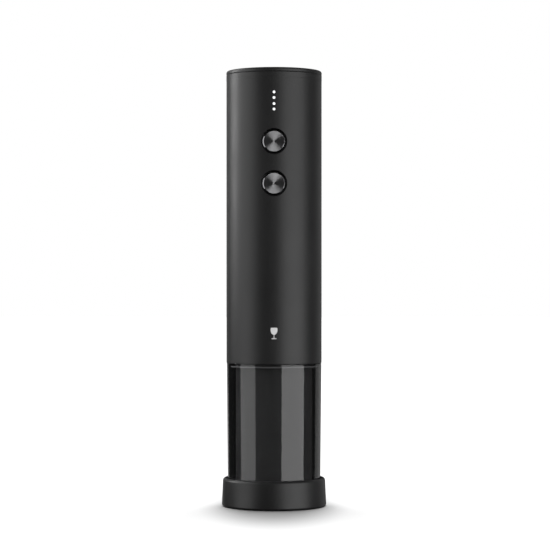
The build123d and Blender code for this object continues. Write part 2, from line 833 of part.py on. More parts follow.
lead_routes = [
    [(x, -4, end_bell_top + 1.8), (x, -4, 170), (x, -9, 176), (x, -board_back, 176)]
    for x in (5, -5)
]
lead_routes += [
    [(2, cell_y - 9, 218.15), (2, -5, 218.15), (2, -9, 213), (2, -board_back, 213)],
    [(-2, cell_y - 9, 167.85), (-2, -5, 167.85), (-2, -9, 171), (-2, -board_back, 171)],
]
with BuildPart() as inner_leads:
    for route in lead_routes:
        with BuildLine() as lead_path:
            FilletPolyline(*route, radius=1.8)
        with BuildSketch(Plane(route[0], z_dir=lead_path.line % 0)) as lead_section:
            Circle(lead_radius)
        sweep(lead_section.sketch, path=lead_path.line)

# ---- Buttons ------------------------------------------------------------------------------------

button_rims = {}
button_discs = {}
for side, height in button_heights.items():
    with BuildPart() as rim:
        with BuildSketch(Plane.XZ.offset(button_flange_back)):
            with Locations((0, height)):
                Circle(button_flange_radius)
        extrude(amount=button_flange_front - button_flange_back)
        with BuildSketch(Plane.XZ.offset(button_flange_front)):
            with Locations((0, height)):
                Circle(button_radius)
        extrude(amount=button_face - button_flange_front)
        front_face = rim.faces().sort_by(Axis.Y)[0]
        chamfer(front_face.edges(), button_bevel_width, button_bevel_depth, reference=front_face)
        with BuildSketch(Plane.XZ.offset(button_face)):
            with Locations((0, height)):
                Circle(button_disc_radius)
        extrude(amount=-button_disc_depth, mode=Mode.SUBTRACT)
        # stem that reaches into the switch
        with BuildSketch(Plane.XZ.offset(button_flange_back)):
            with Locations((0, height)):
                Circle(button_stem_radius)
        extrude(amount=-button_stem_length)
    button_rims[f"button_{side}_rim"] = rim
    with BuildPart() as disc:
        with BuildSketch(Plane.XZ.offset(button_face - button_disc_depth)):
            with Locations((0, height)):
                Circle(button_disc_radius)
        extrude(amount=button_disc_depth)
    button_discs[f"button_{side}_disc"] = disc

# ---- Export -------------------------------------------------------------------------------------

pieces = {
    "base_shell": base_shell,
    "foot_ring": foot_ring,
    "wheel_carrier_lower": wheel_carrier_lower,
    "wheel_carrier_upper": wheel_carrier_upper,
    "wheel_axles": wheel_axles,
    "base_screws": base_screws,
    **cutting_wheels,
    "body_sleeve": body_sleeve,
    "top_cap": top_cap,
    "clear_cup": clear_cup,
    "centring_ring": centring_ring,
    "neck_guide": neck_guide,
    "cork_guide": cork_guide,
    "lip_stop_pad": lip_stop_pad,
    "chassis_front": chassis_front,
    "chassis_rear": chassis_rear,
    "chassis_screws": chassis_screws,
    "gearbox_ring": gearbox_ring,
    "gearbox_output_plate": gearbox_output_plate,
    "gearbox_motor_plate": gearbox_motor_plate,
    "output_bearing": output_bearing,
    "gearbox_screws": gearbox_screws,
    "motor_can": motor_can,
    "motor_end_bell": motor_end_bell,
    "motor_magnets": motor_magnets,
    "motor_bearings": motor_bearings,
    "battery_cell": battery_cell,
    "battery_tabs": battery_tabs,
    "circuit_board": circuit_board,
    "tact_switches": tact_switches,
    "indicator_leds": indicator_leds,
    "light_guide": light_guide,
    "charging_board": charging_board,
    "charging_socket": charging_socket,
    "inner_leads": inner_leads,
    **button_rims,
    **button_discs,
    "worm": worm,
    "worm_hub": worm_hub,
    "output_carrier": output_carrier,
    **carriers,
    **planets,
    "motor_shaft": motor_shaft,
    "motor_pinion": motor_pinion,
    "armature_core": armature_core,
    "commutator": commutator,
}

os.makedirs("parts", exist_ok=True)
for label, piece in pieces.items():
    piece.part.label = label
    export_step(piece.part, f"parts/{label}.step")
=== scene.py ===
"""Looks of a slim cordless wine opener that stands in its round foil cutter.

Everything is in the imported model's frame: metres, +Z up, the opener standing on z = 0 with its
buttons facing -Y. Sizes in the classes below are in millimetres, as on a drawing.
"""

import json
import logging
import math
from contextlib import contextmanager
from dataclasses import dataclass, field
from enum import Enum
from functools import cache
from typing import Callable, Iterator, Sequence

import bmesh
import bpy
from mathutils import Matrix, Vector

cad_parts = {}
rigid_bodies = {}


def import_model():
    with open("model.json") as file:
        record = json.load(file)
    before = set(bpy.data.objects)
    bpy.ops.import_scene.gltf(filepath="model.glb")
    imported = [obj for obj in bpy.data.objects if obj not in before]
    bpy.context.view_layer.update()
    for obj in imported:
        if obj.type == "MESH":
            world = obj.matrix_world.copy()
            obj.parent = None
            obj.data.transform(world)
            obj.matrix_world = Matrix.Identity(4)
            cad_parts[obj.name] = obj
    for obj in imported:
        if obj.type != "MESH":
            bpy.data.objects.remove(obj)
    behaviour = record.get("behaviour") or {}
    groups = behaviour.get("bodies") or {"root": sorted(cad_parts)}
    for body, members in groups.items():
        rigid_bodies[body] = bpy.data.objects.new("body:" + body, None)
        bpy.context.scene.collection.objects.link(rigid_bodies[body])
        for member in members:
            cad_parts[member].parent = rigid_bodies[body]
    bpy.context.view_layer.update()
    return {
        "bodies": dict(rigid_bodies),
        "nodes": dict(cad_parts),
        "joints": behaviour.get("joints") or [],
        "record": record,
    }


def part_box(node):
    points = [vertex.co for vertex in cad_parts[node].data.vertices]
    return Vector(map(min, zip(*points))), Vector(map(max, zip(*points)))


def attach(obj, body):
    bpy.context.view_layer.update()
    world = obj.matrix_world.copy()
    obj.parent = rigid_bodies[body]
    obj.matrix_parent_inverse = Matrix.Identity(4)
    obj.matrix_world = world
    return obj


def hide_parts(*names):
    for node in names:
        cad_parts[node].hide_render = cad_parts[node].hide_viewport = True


LOG = logging.getLogger("wine_opener")
MM = 0.001
NEAR = 2e-6

Colour = tuple[float, float, float]
Point = tuple[float, float, float]
EdgeTest = Callable[[Sequence[bmesh.types.BMVert]], bool]


# ---- Hand tools ---------------------------------------------------------------------------------


@dataclass(frozen=True)
class Ring:
    """One level ring of a turned piece: radius, height, and how far its corner is rounded."""

    radius: float
    height: float
    rounding: float = 0.0
    steps: int = 4


class End(Enum):
    """How a turned piece's first and last rings are finished."""

    JOINED = "joined"
    CAPPED = "capped"


def select_only(piece: bpy.types.Object) -> None:
    """Select one piece and nothing else, and make it the active one."""
    bpy.ops.object.select_all(action="DESELECT")
    piece.select_set(True)
    bpy.context.view_layer.objects.active = piece


@contextmanager
def editing(piece: bpy.types.Object) -> Iterator[None]:
    """Open one piece in edit mode, and leave edit mode afterwards.

    Args:
        piece: the mesh object to work on.
    """
    select_only(piece)
    bpy.ops.object.mode_set(mode="EDIT")
    bpy.ops.mesh.select_mode(type="EDGE")
    try:
        yield
    finally:
        bpy.ops.object.mode_set(mode="OBJECT")


def pick(piece: bpy.types.Object, test: EdgeTest) -> None:
    """Select the edges of the piece in edit mode whose two ends pass a test.

    Args:
        piece: the mesh object in edit mode.
        test: says whether an edge with these two vertices is wanted.
    """
    mesh = bmesh.from_edit_mesh(piece.data)
    bpy.ops.mesh.select_all(action="DESELECT")
    for edge in mesh.edges:
        if test(edge.verts):
            edge.select_set(True)
    mesh.select_flush_mode()
    bmesh.update_edit_mesh(piece.data)


def on_ring(ring: Ring) -> EdgeTest:
    """A test for edges that lie on a level ring."""

    def test(ends: Sequence[bmesh.types.BMVert]) -> bool:
        return all(
            abs(math.hypot(v.co.x, v.co.y) - ring.radius * MM) < NEAR
            and abs(v.co.z - ring.height * MM) < NEAR
            for v in ends
        )

    return test


def close_ring() -> None:
    """Close the selected ring with faces that meet in its middle."""
    bpy.ops.mesh.extrude_region_move()
    bpy.ops.mesh.merge(type="CENTER")


def face_outwards() -> None:
    """Turn every face of the piece in edit mode outwards."""
    bpy.ops.mesh.select_all(action="SELECT")
    bpy.ops.mesh.normals_make_consistent(inside=False)


def place(piece: bpy.types.Object) -> bpy.types.Object:
    """Put a piece's place, turn and scale into its mesh, so its object sits at the origin."""
    select_only(piece)
    bpy.ops.object.transform_apply(location=True, rotation=True, scale=True)
    return piece


def face_front(piece: bpy.types.Object, height: float, forward: float = 0.0) -> bpy.types.Object:
    """Tip a piece that was made upwards so that it faces -Y.

    Args:
        piece: the mesh object.
        height: how high its foot comes.
        forward: how far towards -Y its foot comes.

    Returns:
        The same piece.
    """
    piece.rotation_euler = (math.pi / 2, 0, 0)
    piece.location = (0, -forward * MM, height * MM)
    return place(piece)


def duplicate(model: bpy.types.Object) -> bpy.types.Object:
    """Copy a piece, with its own mesh."""
    copy = model.copy()
    copy.data = model.data.copy()
    bpy.context.collection.objects.link(copy)
    return copy


def smooth(piece: bpy.types.Object, degrees: float = 32.0) -> bpy.types.Object:
    """Shade a piece smooth, but for edges sharper than an angle, and keep its broad faces even.

    Args:
        piece: the mesh object.
        degrees: edges that turn by more than this stay crisp.

    Returns:
        The same piece.
    """
    select_only(piece)
    bpy.ops.object.shade_smooth_by_angle(angle=math.radians(degrees))
    weighted = piece.modifiers.new("even_faces", "WEIGHTED_NORMAL")
    weighted.weight = 100
    weighted.keep_sharp = True
    bpy.ops.object.modifier_apply(modifier=weighted.name)
    return piece


def turned(name: str, rings: Sequence[Ring], end: End, segments: int = 192) -> bpy.types.Object:
    """Turn a piece about the Z axis, ring by ring, and round the corners that ask for it.

    Args:
        name: the piece's name.
        rings: the rings in order along the profile.
        end: how the first and last rings are finished.
        segments: how many sides each ring has.

    Returns:
        The finished mesh object.
    """
    first = rings[0]
    bpy.ops.mesh.primitive_circle_add(
        vertices=segments, radius=first.radius * MM, location=(0, 0, first.height * MM)
    )
    piece = place(bpy.context.active_object)
    piece.name = name
    with editing(piece):
        bpy.ops.mesh.select_all(action="SELECT")
        for before, ring in zip(rings, rings[1:]):
            rise = (ring.height - before.height) * MM
            bpy.ops.mesh.extrude_region_move(TRANSFORM_OT_translate={"value": (0, 0, rise)})
            growth = ring.radius / before.radius
            bpy.ops.transform.resize(value=(growth, growth, 1), center_override=(0, 0, 0))
        if end is End.CAPPED:
            close_ring()
            pick(piece, on_ring(first))
            close_ring()
        else:
            ends = (on_ring(first), on_ring(rings[-1]))
            pick(piece, lambda verts: any(test(verts) for test in ends))
            bpy.ops.mesh.bridge_edge_loops()
        face_outwards()
        for ring in rings:
            if ring.rounding > 0:
                pick(piece, on_ring(ring))
                bpy.ops.mesh.bevel(
                    offset=ring.rounding * MM, segments=ring.steps, clamp_overlap=False
                )
    return smooth(piece)


def block(
    name: str, low: Point, high: Point, bevel: float = 0.0, steps: int = 2
) -> bpy.types.Object:
    """Make a box between two corners, with its edges rounded.

    Args:
        name: the piece's name.
        low: its lowest corner.
        high: its highest corner.
        bevel: how far its edges are rounded.
        steps: how many faces each rounding has.

    Returns:
        The finished mesh object.
    """
    centre = [(a + b) / 2 * MM for a, b in zip(low, high)]
    bpy.ops.mesh.primitive_cube_add(size=1, location=centre)
    piece = bpy.context.active_object
    piece.name = name
    piece.scale = [(b - a) * MM for a, b in zip(low, high)]
    place(piece)
    if bevel > 0:
        with editing(piece):
            bpy.ops.mesh.select_all(action="SELECT")
            bpy.ops.mesh.bevel(offset=bevel * MM, segments=steps)
    return smooth(piece)


def joined(name: str, pieces: Sequence[bpy.types.Object]) -> bpy.types.Object:
    """Join several mesh objects into one.

    Args:
        name: the joined piece's name.
        pieces: the objects, which become one.

    Returns:
        The joined object.
    """
    select_only(pieces[0])
    for piece in pieces[1:]:
        piece.select_set(True)
    bpy.ops.object.join()
    pieces[0].name = name
    return pieces[0]


def cut(piece: bpy.types.Object, cutter: bpy.types.Object) -> None:
    """Cut one piece's shape out of another, and remove the cutter.

    Args:
        piece: the object that is cut.
        cutter: the object that is taken away.
    """
    select_only(piece)
    modifier = piece.modifiers.new("cut", "BOOLEAN")
    modifier.operation = "DIFFERENCE"
    modifier.solver = "EXACT"
    modifier.object = cutter
    bpy.ops.object.modifier_apply(modifier=modifier.name)
    bpy.data.objects.remove(cutter)


def round_rim(piece: bpy.types.Object, centre: Point, radius: float, offset: float) -> None:
    """Round the outer rim of a hole that was cut along Y through the front of a round wall.

    Args:
        piece: the wall.
        centre: a point on the hole's axis.
        radius: the hole's radius.
        offset: how far its rim is rounded.
    """

    def test(ends: Sequence[bmesh.types.BMVert]) -> bool:
        return all(
            abs(math.hypot(v.co.x - centre[0] * MM, v.co.z - centre[2] * MM) - radius * MM) < 4e-6
            and v.co.y < centre[1] * MM
            for v in ends
        ) and abs(ends[0].co.y - ends[1].co.y) < 3e-4

    with editing(piece):
        pick(piece, test)
        bpy.ops.mesh.bevel(offset=offset * MM, segments=2, clamp_overlap=False)


# ---- Shared shader effects ----------------------------------------------------------------------


class Effects:
    """Node groups that several finishes use, each built once."""

    SEAM_START = 0.82

    @classmethod
    def _start(
        cls, name: str, inputs: dict[str, float], outputs: dict[str, str]
    ) -> tuple[bpy.types.NodeTree, bpy.types.Node, bpy.types.Node]:
        """Start a node group with its sockets.

        Args:
            name: the group's name.
            inputs: each float input with its default.
            outputs: each output with its socket type.

        Returns:
            The group, its input node and its output node.
        """
        tree = bpy.data.node_groups.new(name, "ShaderNodeTree")
        for label, value in inputs.items():
            socket = tree.interface.new_socket(label, in_out="INPUT", socket_type="NodeSocketFloat")
            socket.default_value = value
        for label, kind in outputs.items():
            tree.interface.new_socket(label, in_out="OUTPUT", socket_type=kind)
        return tree, tree.nodes.new("NodeGroupInput"), tree.nodes.new("NodeGroupOutput")

    @classmethod
    @cache
    def grain(cls) -> bpy.types.NodeTree:
        """A fine even grain: a height for bump and a mask for roughness and colour."""
        inputs = {"Scale": 4000.0, "Cloud Scale": 60.0}
        outputs = {"Height": "NodeSocketFloat", "Cloud": "NodeSocketFloat"}
        tree, entry, leave = cls._start("grain", inputs, outputs)
        place_node = tree.nodes.new("ShaderNodeTexCoord")
        fine = tree.nodes.new("ShaderNodeTexNoise")
        fine.inputs["Detail"].default_value = 3.0
        cloud = tree.nodes.new("ShaderNodeTexNoise")
        cloud.inputs["Detail"].default_value = 4.0
        cloud.inputs["Roughness"].default_value = 0.62
        for noise, label in ((fine, "Scale"), (cloud, "Cloud Scale")):
            tree.links.new(place_node.outputs["Object"], noise.inputs["Vector"])
            tree.links.new(entry.outputs[label], noise.inputs["Scale"])
        tree.links.new(fine.outputs["Fac"], leave.inputs["Height"])
        tree.links.new(cloud.outputs["Fac"], leave.inputs["Cloud"])
        return tree

    @classmethod
    @cache
    def lathe_marks(cls) -> bpy.types.NodeTree:
        """Fine rings round the Y or Z axis through a piece's centre, as a lathe leaves them."""
        inputs = {"Pitch Per Metre": 5000.0, "Centre Z": 0.0, "Across Y": 1.0}
        outputs = {"Height": "NodeSocketFloat", "Mask": "NodeSocketFloat"}
        tree, entry, leave = cls._start("lathe_marks", inputs, outputs)
        place_node = tree.nodes.new("ShaderNodeTexCoord")
        split = tree.nodes.new("ShaderNodeSeparateXYZ")
        tree.links.new(place_node.outputs["Object"], split.inputs[0])
        lift = cls._math(tree, "SUBTRACT", split.outputs["Z"], entry.outputs["Centre Z"])
        flat = cls._math(tree, "MULTIPLY", split.outputs["Y"], entry.outputs["Across Y"])
        gather = tree.nodes.new("ShaderNodeCombineXYZ")
        tree.links.new(split.outputs["X"], gather.inputs["X"])
        tree.links.new(lift, gather.inputs["Y"])
        tree.links.new(flat, gather.inputs["Z"])
        length = tree.nodes.new("ShaderNodeVectorMath")
        length.operation = "LENGTH"
        tree.links.new(gather.outputs[0], length.inputs[0])
        pitch = entry.outputs["Pitch Per Metre"]
        steps = cls._math(tree, "MULTIPLY", length.outputs["Value"], pitch)
        ring_noise = tree.nodes.new("ShaderNodeTexNoise")
        ring_noise.noise_dimensions = "1D"
        ring_noise.inputs["Scale"].default_value = 1.0
        ring_noise.inputs["Detail"].default_value = 2.0
        tree.links.new(steps, ring_noise.inputs["W"])
        tree.links.new(ring_noise.outputs["Fac"], leave.inputs["Height"])
        tree.links.new(ring_noise.outputs["Fac"], leave.inputs["Mask"])
        return tree

    @classmethod
    @cache
    def layers(cls) -> bpy.types.NodeTree:
        """Level layers up the Z axis, as in stacked laminations or a rolled wall."""
        inputs = {"Layers Per Metre": 2000.0}
        outputs = {"Height": "NodeSocketFloat", "Mask": "NodeSocketFloat"}
        tree, entry, leave = cls._start("layers", inputs, outputs)
        place_node = tree.nodes.new("ShaderNodeTexCoord")
        split = tree.nodes.new("ShaderNodeSeparateXYZ")
        tree.links.new(place_node.outputs["Object"], split.inputs[0])
        steps = cls._math(tree, "MULTIPLY", split.outputs["Z"], entry.outputs["Layers Per Metre"])
        saw = cls._math(tree, "FRACT", steps)
        edge = cls._math(tree, "GREATER_THAN", saw)
        edge.node.inputs[1].default_value = cls.SEAM_START
        tree.links.new(saw, leave.inputs["Height"])
        tree.links.new(edge, leave.inputs["Mask"])
        return tree

    @staticmethod
    def _math(
        tree: bpy.types.NodeTree,
        operation: str,
        first: bpy.types.NodeSocket,
        second: bpy.types.NodeSocket | None = None,
    ) -> bpy.types.NodeSocket:
        """Add a math node to a tree.

        Args:
            tree: the node tree.
            operation: the math node's operation.
            first: its first input.
            second: its second input, if it has one.

        Returns:
            The node's output socket.
        """
        node = tree.nodes.new("ShaderNodeMath")
        node.operation = operation
        tree.links.new(first, node.inputs[0])
        if second is not None:
            tree.links.new(second, node.inputs[1])
        return node.outputs[0]


def add_effect(
    tree: bpy.types.NodeTree, effect: bpy.types.NodeTree, values: dict[str, float]
) -> bpy.types.Node:
    """Place a shared effect in a material.

    Args:
        tree: the material's node tree.
        effect: the effect's node group.
        values: the group's inputs, by name.

    Returns:
        The group's node.
    """
    node = tree.nodes.new("ShaderNodeGroup")
    node.node_tree = effect
    for label, value in values.items():
        node.inputs[label].default_value = value
    return node


# ---- Finishes -----------------------------------------------------------------------------------

COAT_ROUGHNESS = 0.1
MASK_LOW, MASK_HIGH = 0.3, 0.7


@dataclass(frozen=True)
class Finish:
    """A surface finish with a fine grain and slow clouds of colour and gloss.

    Attributes:
        name: the material's name.
        slot: the record's material slot that it stands for; not used.
        colour: its middle colour, linear.
        roughness: its middle roughness.
        colour_spread: how far the clouds lighten and darken the colour, as a share.
        roughness_spread: how far the clouds change the roughness.
        metallic: 0 for plastics and 1 for metals.
        grain_scale: grains per metre.
        grain_height: how deep the grain is, in millimetres.
        cloud_scale: clouds per metre.
        specular: the specular level.
        coat: a clear coat's weight.
        transmission: how much light passes.
        index: the index of refraction.
        anisotropy: how strongly fine marks stretch the highlight.
        glow: how strongly the surface shines by itself.
    """

    name: str
    slot: str
    colour: Colour
    roughness: float = 0.45
    colour_spread: float = 0.12
    roughness_spread: float = 0.06
    metallic: float = 0.0
    grain_scale: float = 4000.0
    grain_height: float = 0.004
    cloud_scale: float = 60.0
    specular: float = 0.5
    coat: float = 0.0
    transmission: float = 0.0
    index: float = 1.5
    anisotropy: float = 0.0
    glow: float = 0.0

    def make(self) -> bpy.types.Material:
        """Build the material, or fetch it if it is built."""
        if self.name in bpy.data.materials:
            return bpy.data.materials[self.name]
        material = bpy.data.materials.new(self.name)
        material.use_nodes = True
        tree = material.node_tree
        shader = tree.nodes["Principled BSDF"]
        constants = {
            "Metallic": self.metallic,
            "IOR": self.index,
            "Specular IOR Level": self.specular,
            "Coat Weight": self.coat,
            "Coat Roughness": COAT_ROUGHNESS,
            "Transmission Weight": self.transmission,
            "Anisotropic": self.anisotropy,
            "Emission Strength": self.glow,
        }
        for socket, value in constants.items():
            shader.inputs[socket].default_value = value
        shader.inputs["Emission Color"].default_value = (*self.colour, 1.0)
        self.dress(tree, shader)
        return material

    def dress(self, tree: bpy.types.NodeTree, shader: bpy.types.Node) -> None:
        """Link the grain and clouds to the shader.

        Args:
            tree: the material's node tree.
            shader: its Principled BSDF.
        """
        grain = self.add_grain(tree)
        self.tint(tree, shader, grain.outputs["Cloud"], self.colour_spread)
        self.gloss(tree, shader, grain.outputs["Cloud"], self.roughness_spread)
        self.bump(tree, shader, grain.outputs["Height"], self.grain_height)

    def add_grain(self, tree: bpy.types.NodeTree) -> bpy.types.Node:
        """Place the grain and clouds in the material, at the finish's own scales."""
        scales = {"Scale": self.grain_scale, "Cloud Scale": self.cloud_scale}
        return add_effect(tree, Effects.grain(), scales)

    def tint(
        self,
        tree: bpy.types.NodeTree,
        shader: bpy.types.Node,
        mask: bpy.types.NodeSocket,
        spread: float,
    ) -> None:
        """Vary the colour with a mask.

        Args:
            tree: the material's node tree.
            shader: its Principled BSDF.
            mask: a value from 0 to 1 over the surface.
            spread: how far the colour goes each way, as a share.
        """
        ramp = tree.nodes.new("ShaderNodeValToRGB")
        ramp.color_ramp.elements[0].position = MASK_LOW
        ramp.color_ramp.elements[1].position = MASK_HIGH
        for element, change in zip(ramp.color_ramp.elements, (1 - spread, 1 + spread)):
            element.color = (*(channel * change for channel in self.colour), 1.0)
        tree.links.new(mask, ramp.inputs["Fac"])
        tree.links.new(ramp.outputs["Color"], shader.inputs["Base Color"])

    def gloss(
        self,
        tree: bpy.types.NodeTree,
        shader: bpy.types.Node,
        mask: bpy.types.NodeSocket,
        spread: float,
    ) -> None:
        """Vary the roughness with a mask.

        Args:
            tree: the material's node tree.
            shader: its Principled BSDF.
            mask: a value from 0 to 1 over the surface.
            spread: how far the roughness goes each way.
        """
        scale = tree.nodes.new("ShaderNodeMapRange")
        scale.inputs["From Min"].default_value = MASK_LOW
        scale.inputs["From Max"].default_value = MASK_HIGH
        scale.inputs["To Min"].default_value = max(self.roughness - spread, 0.0)
        scale.inputs["To Max"].default_value = min(self.roughness + spread, 1.0)
        tree.links.new(mask, scale.inputs["Value"])
        tree.links.new(scale.outputs["Result"], shader.inputs["Roughness"])

    def bump(
        self,
        tree: bpy.types.NodeTree,
        shader: bpy.types.Node,
        height: bpy.types.NodeSocket,
        depth: float,
    ) -> None:
        """Raise the surface with a height.

        Args:
            tree: the material's node tree.
            shader: its Principled BSDF.
            height: a value from 0 to 1 over the surface.
            depth: what a height of 1 stands for, in millimetres.
        """
        if depth <= 0:
            return
        node = tree.nodes.new("ShaderNodeBump")
        node.inputs["Distance"].default_value = depth * MM
        node.inputs["Strength"].default_value = 1.0
        tree.links.new(height, node.inputs["Height"])
        tree.links.new(node.outputs["Normal"], shader.inputs["Normal"])

    @staticmethod
    def blend(
        tree: bpy.types.NodeTree,
        shader: bpy.types.Node,
        mask: bpy.types.NodeSocket,
        colours: tuple[Colour, Colour],
    ) -> None:
        """Colour the surface from one colour to another with a mask.

        Args:
            tree: the material's node tree.
            shader: its Principled BSDF.
            mask: a value from 0 to 1 over the surface.
            colours: the colours where the mask is 0 and where it is 1.
        """
        mix = tree.nodes.new("ShaderNodeMix")
        mix.data_type = "RGBA"
        mix.inputs["A"].default_value = (*colours[0], 1.0)
        mix.inputs["B"].default_value = (*colours[1], 1.0)
        tree.links.new(mask, mix.inputs["Factor"])
        tree.links.new(mix.outputs["Result"], shader.inputs["Base Color"])


@dataclass(frozen=True)
class TurnedFinish(Finish):
    """A metal face with lathe marks round the Z axis, or round the Y axis at a height.

    Attributes:
        pitch: marks per metre.
        centre_z: the height of the marks' axis when they run round Y, in millimetres.
        round_y: whether the marks run round the Y axis.
        mark_depth: how deep the marks are, in millimetres.
    """

    pitch: float = 5000.0
    centre_z: float = 0.0
    round_y: bool = False
    mark_depth: float = 0.004

    def dress(self, tree: bpy.types.NodeTree, shader: bpy.types.Node) -> None:
        """Link the lathe marks to the shader, over the grain's clouds."""
        grain = self.add_grain(tree)
        values = {
            "Pitch Per Metre": self.pitch,
            "Centre Z": self.centre_z * MM,
            "Across Y": 0.0 if self.round_y else 1.0,
        }
        marks = add_effect(tree, Effects.lathe_marks(), values)
        self.tint(tree, shader, marks.outputs["Mask"], self.colour_spread)
        self.gloss(tree, shader, grain.outputs["Cloud"], self.roughness_spread)
        self.bump(tree, shader, marks.outputs["Height"], self.mark_depth)
        if self.anisotropy > 0:
            tangent = tree.nodes.new("ShaderNodeTangent")
            tangent.direction_type = "RADIAL"
            tangent.axis = "Y" if self.round_y else "Z"
            tree.links.new(tangent.outputs["Tangent"], shader.inputs["Tangent"])


@dataclass(frozen=True)
class LayeredFinish(Finish):
    """A metal built up of level layers.

    Attributes:
        layers: layers per metre.
        seam: the colour of the seams between them.
    """

    layers: float = 2000.0
    seam: Colour = (0.05, 0.05, 0.05)

    def dress(self, tree: bpy.types.NodeTree, shader: bpy.types.Node) -> None:
        """Link the layers to the shader."""
        stack = add_effect(tree, Effects.layers(), {"Layers Per Metre": self.layers})
        self.blend(tree, shader, stack.outputs["Mask"], (self.colour, self.seam))
        self.gloss(tree, shader, stack.outputs["Mask"], self.roughness_spread)
        self.bump(tree, shader, stack.outputs["Height"], self.grain_height)


@dataclass(frozen=True)
class ClearFinish(Finish):
    """A tinted clear plastic, which lets the lamps' light through to what stands behind it.

    Attributes:
        lamp_tint: how much of a lamp's light each of its faces lets through.
    """

    lamp_tint: float = 0.9

    def dress(self, tree: bpy.types.NodeTree, shader: bpy.types.Node) -> None:
        """Link the clouds to the shader, and let shadow rays through."""
        super().dress(tree, shader)
        passing = tree.nodes.new("ShaderNodeBsdfTransparent")
        passing.inputs["Color"].default_value = (self.lamp_tint,) * 3 + (1.0,)
        path = tree.nodes.new("ShaderNodeLightPath")
        mix = tree.nodes.new("ShaderNodeMixShader")
        tree.links.new(path.outputs["Is Shadow Ray"], mix.inputs["Fac"])
        tree.links.new(shader.outputs[0], mix.inputs[1])
        tree.links.new(passing.outputs[0], mix.inputs[2])
        tree.links.new(mix.outputs[0], tree.nodes["Material Output"].inputs["Surface"])


@dataclass(frozen=True)
class RibbedFinish(Finish):
    """A bright face cut into fine ribs or contacts along X.

    Attributes:
        ribs: how closely the ribs stand: about half as many as this to a metre.
        ribs_per_scale: how much of that one unit of the wave's scale stands for.
        gap: the colour between them.
    """

    ribs: float = 1500.0
    ribs_per_scale: float = 6.283
    gap: Colour = (0.02, 0.02, 0.02)

    def dress(self, tree: bpy.types.NodeTree, shader: bpy.types.Node) -> None:
        """Link the ribs to the shader."""
        wave = tree.nodes.new("ShaderNodeTexWave")
        wave.inputs["Scale"].default_value = self.ribs / self.ribs_per_scale
        coordinates = tree.nodes.new("ShaderNodeTexCoord")
        tree.links.new(coordinates.outputs["Object"], wave.inputs["Vector"])
        self.blend(tree, shader, wave.outputs["Fac"], (self.gap, self.colour))
        self.gloss(tree, shader, wave.outputs["Fac"], self.roughness_spread)


SOFT_BLACK = Finish(
    "soft_touch_black", "body_black", (0.0110, 0.0110, 0.0113), 0.44, 0.10, 0.03,
    grain_scale=5200, grain_height=0.006, cloud_scale=45, specular=0.5,
)
MOULDED_BLACK = Finish(
    "moulded_black", "base_black", (0.014, 0.014, 0.0143), 0.43, 0.08, 0.04,
    grain_scale=4600, grain_height=0.008, cloud_scale=55, specular=0.5,
)
SMOKED = ClearFinish(
    "smoked_acrylic", "smoked_clear", (0.78, 0.78, 0.79), 0.02, 0.02, 0.012,
    grain_scale=900, grain_height=0.0, cloud_scale=40, transmission=1.0, index=1.52,
)
GUIDE_BLACK = Finish(
    "satin_guide_black", "guide_black", (0.048, 0.048, 0.0485), 0.42, 0.06, 0.04,
    grain_scale=5000, grain_height=0.001, cloud_scale=70,
)
RUBBER = Finish(
    "black_rubber", "rubber", (0.016, 0.016, 0.016), 0.72, 0.18, 0.06,
    grain_scale=3000, grain_height=0.012, cloud_scale=120, specular=0.3,
)
DARK_CHROME = Finish(
    "dark_chrome", "dark_chrome", (0.50, 0.50, 0.51), 0.12, 0.06, 0.03,
    metallic=1.0, grain_scale=3000, grain_height=0.0006, cloud_scale=200,
)
STEEL = Finish(
    "machined_steel", "steel", (0.50, 0.50, 0.49), 0.30, 0.08, 0.07,
    metallic=1.0, grain_scale=3500, grain_height=0.0015, cloud_scale=130,
)
WORM_STEEL = Finish(
    "polished_worm", "worm_steel", (0.55, 0.55, 0.56), 0.16, 0.06, 0.05,
    metallic=1.0, grain_scale=2600, grain_height=0.001, cloud_scale=160,
)
WHEEL_STEEL = TurnedFinish(
    "ground_wheel_steel", "wheel_steel", (0.58, 0.58, 0.57), 0.24, 0.05, 0.04,
    metallic=1.0, cloud_scale=200, pitch=6000, mark_depth=0.002,
)
ACETAL = Finish(
    "acetal_gear", "gear_plastic", (0.72, 0.70, 0.64), 0.40, 0.04, 0.05,
    grain_scale=3500, grain_height=0.003, cloud_scale=150,
)
# A lighter copy of the grey plastic: its extra lightness is a painted highlight for the bright line
# where the centring ring shows through the cup.
RING_GREY_PAINTED_HIGHLIGHT = Finish(
    "grey_ring_painted_highlight", "grey_plastic", (0.27, 0.27, 0.275), 0.35, 0.06, 0.04,
    grain_scale=5000, grain_height=0.001, cloud_scale=90,
)
NYLON = Finish(
    "grey_nylon", "grey_plastic", (0.16, 0.165, 0.17), 0.48, 0.10, 0.05,
    grain_scale=3200, grain_height=0.006, cloud_scale=90,
)
BRONZE = Finish(
    "sintered_bronze", "brass", (0.62, 0.42, 0.18), 0.38, 0.14, 0.08,
    metallic=1.0, grain_scale=6000, grain_height=0.006, cloud_scale=260,
)
ZINC = Finish(
    "zinc_plated_can", "motor_metal", (0.52, 0.53, 0.53), 0.32, 0.10, 0.09,
    metallic=1.0, grain_scale=1800, grain_height=0.002, cloud_scale=180,
)
FERRITE = Finish(
    "ferrite_magnet", "magnet", (0.045, 0.045, 0.048), 0.62, 0.15, 0.06,
    grain_scale=4500, grain_height=0.01, cloud_scale=160,
)
COPPER = Finish(
    "enamelled_copper", "copper", (0.62, 0.26, 0.12), 0.30, 0.10, 0.06,
    metallic=1.0, grain_scale=3000, grain_height=0.004, cloud_scale=220, coat=0.4,
)
LAMINATED = LayeredFinish(
    "laminated_core", "steel", (0.42, 0.42, 0.42), 0.42, 0.05, 0.08,
    metallic=1.0, grain_height=0.02, layers=2000, seam=(0.16, 0.15, 0.15),
)
CELL_WRAP = Finish(
    "cell_wrap", "cell_wrap", (0.035, 0.16, 0.30), 0.30, 0.05, 0.05,
    grain_scale=900, grain_height=0.004, cloud_scale=60, coat=0.3,
)
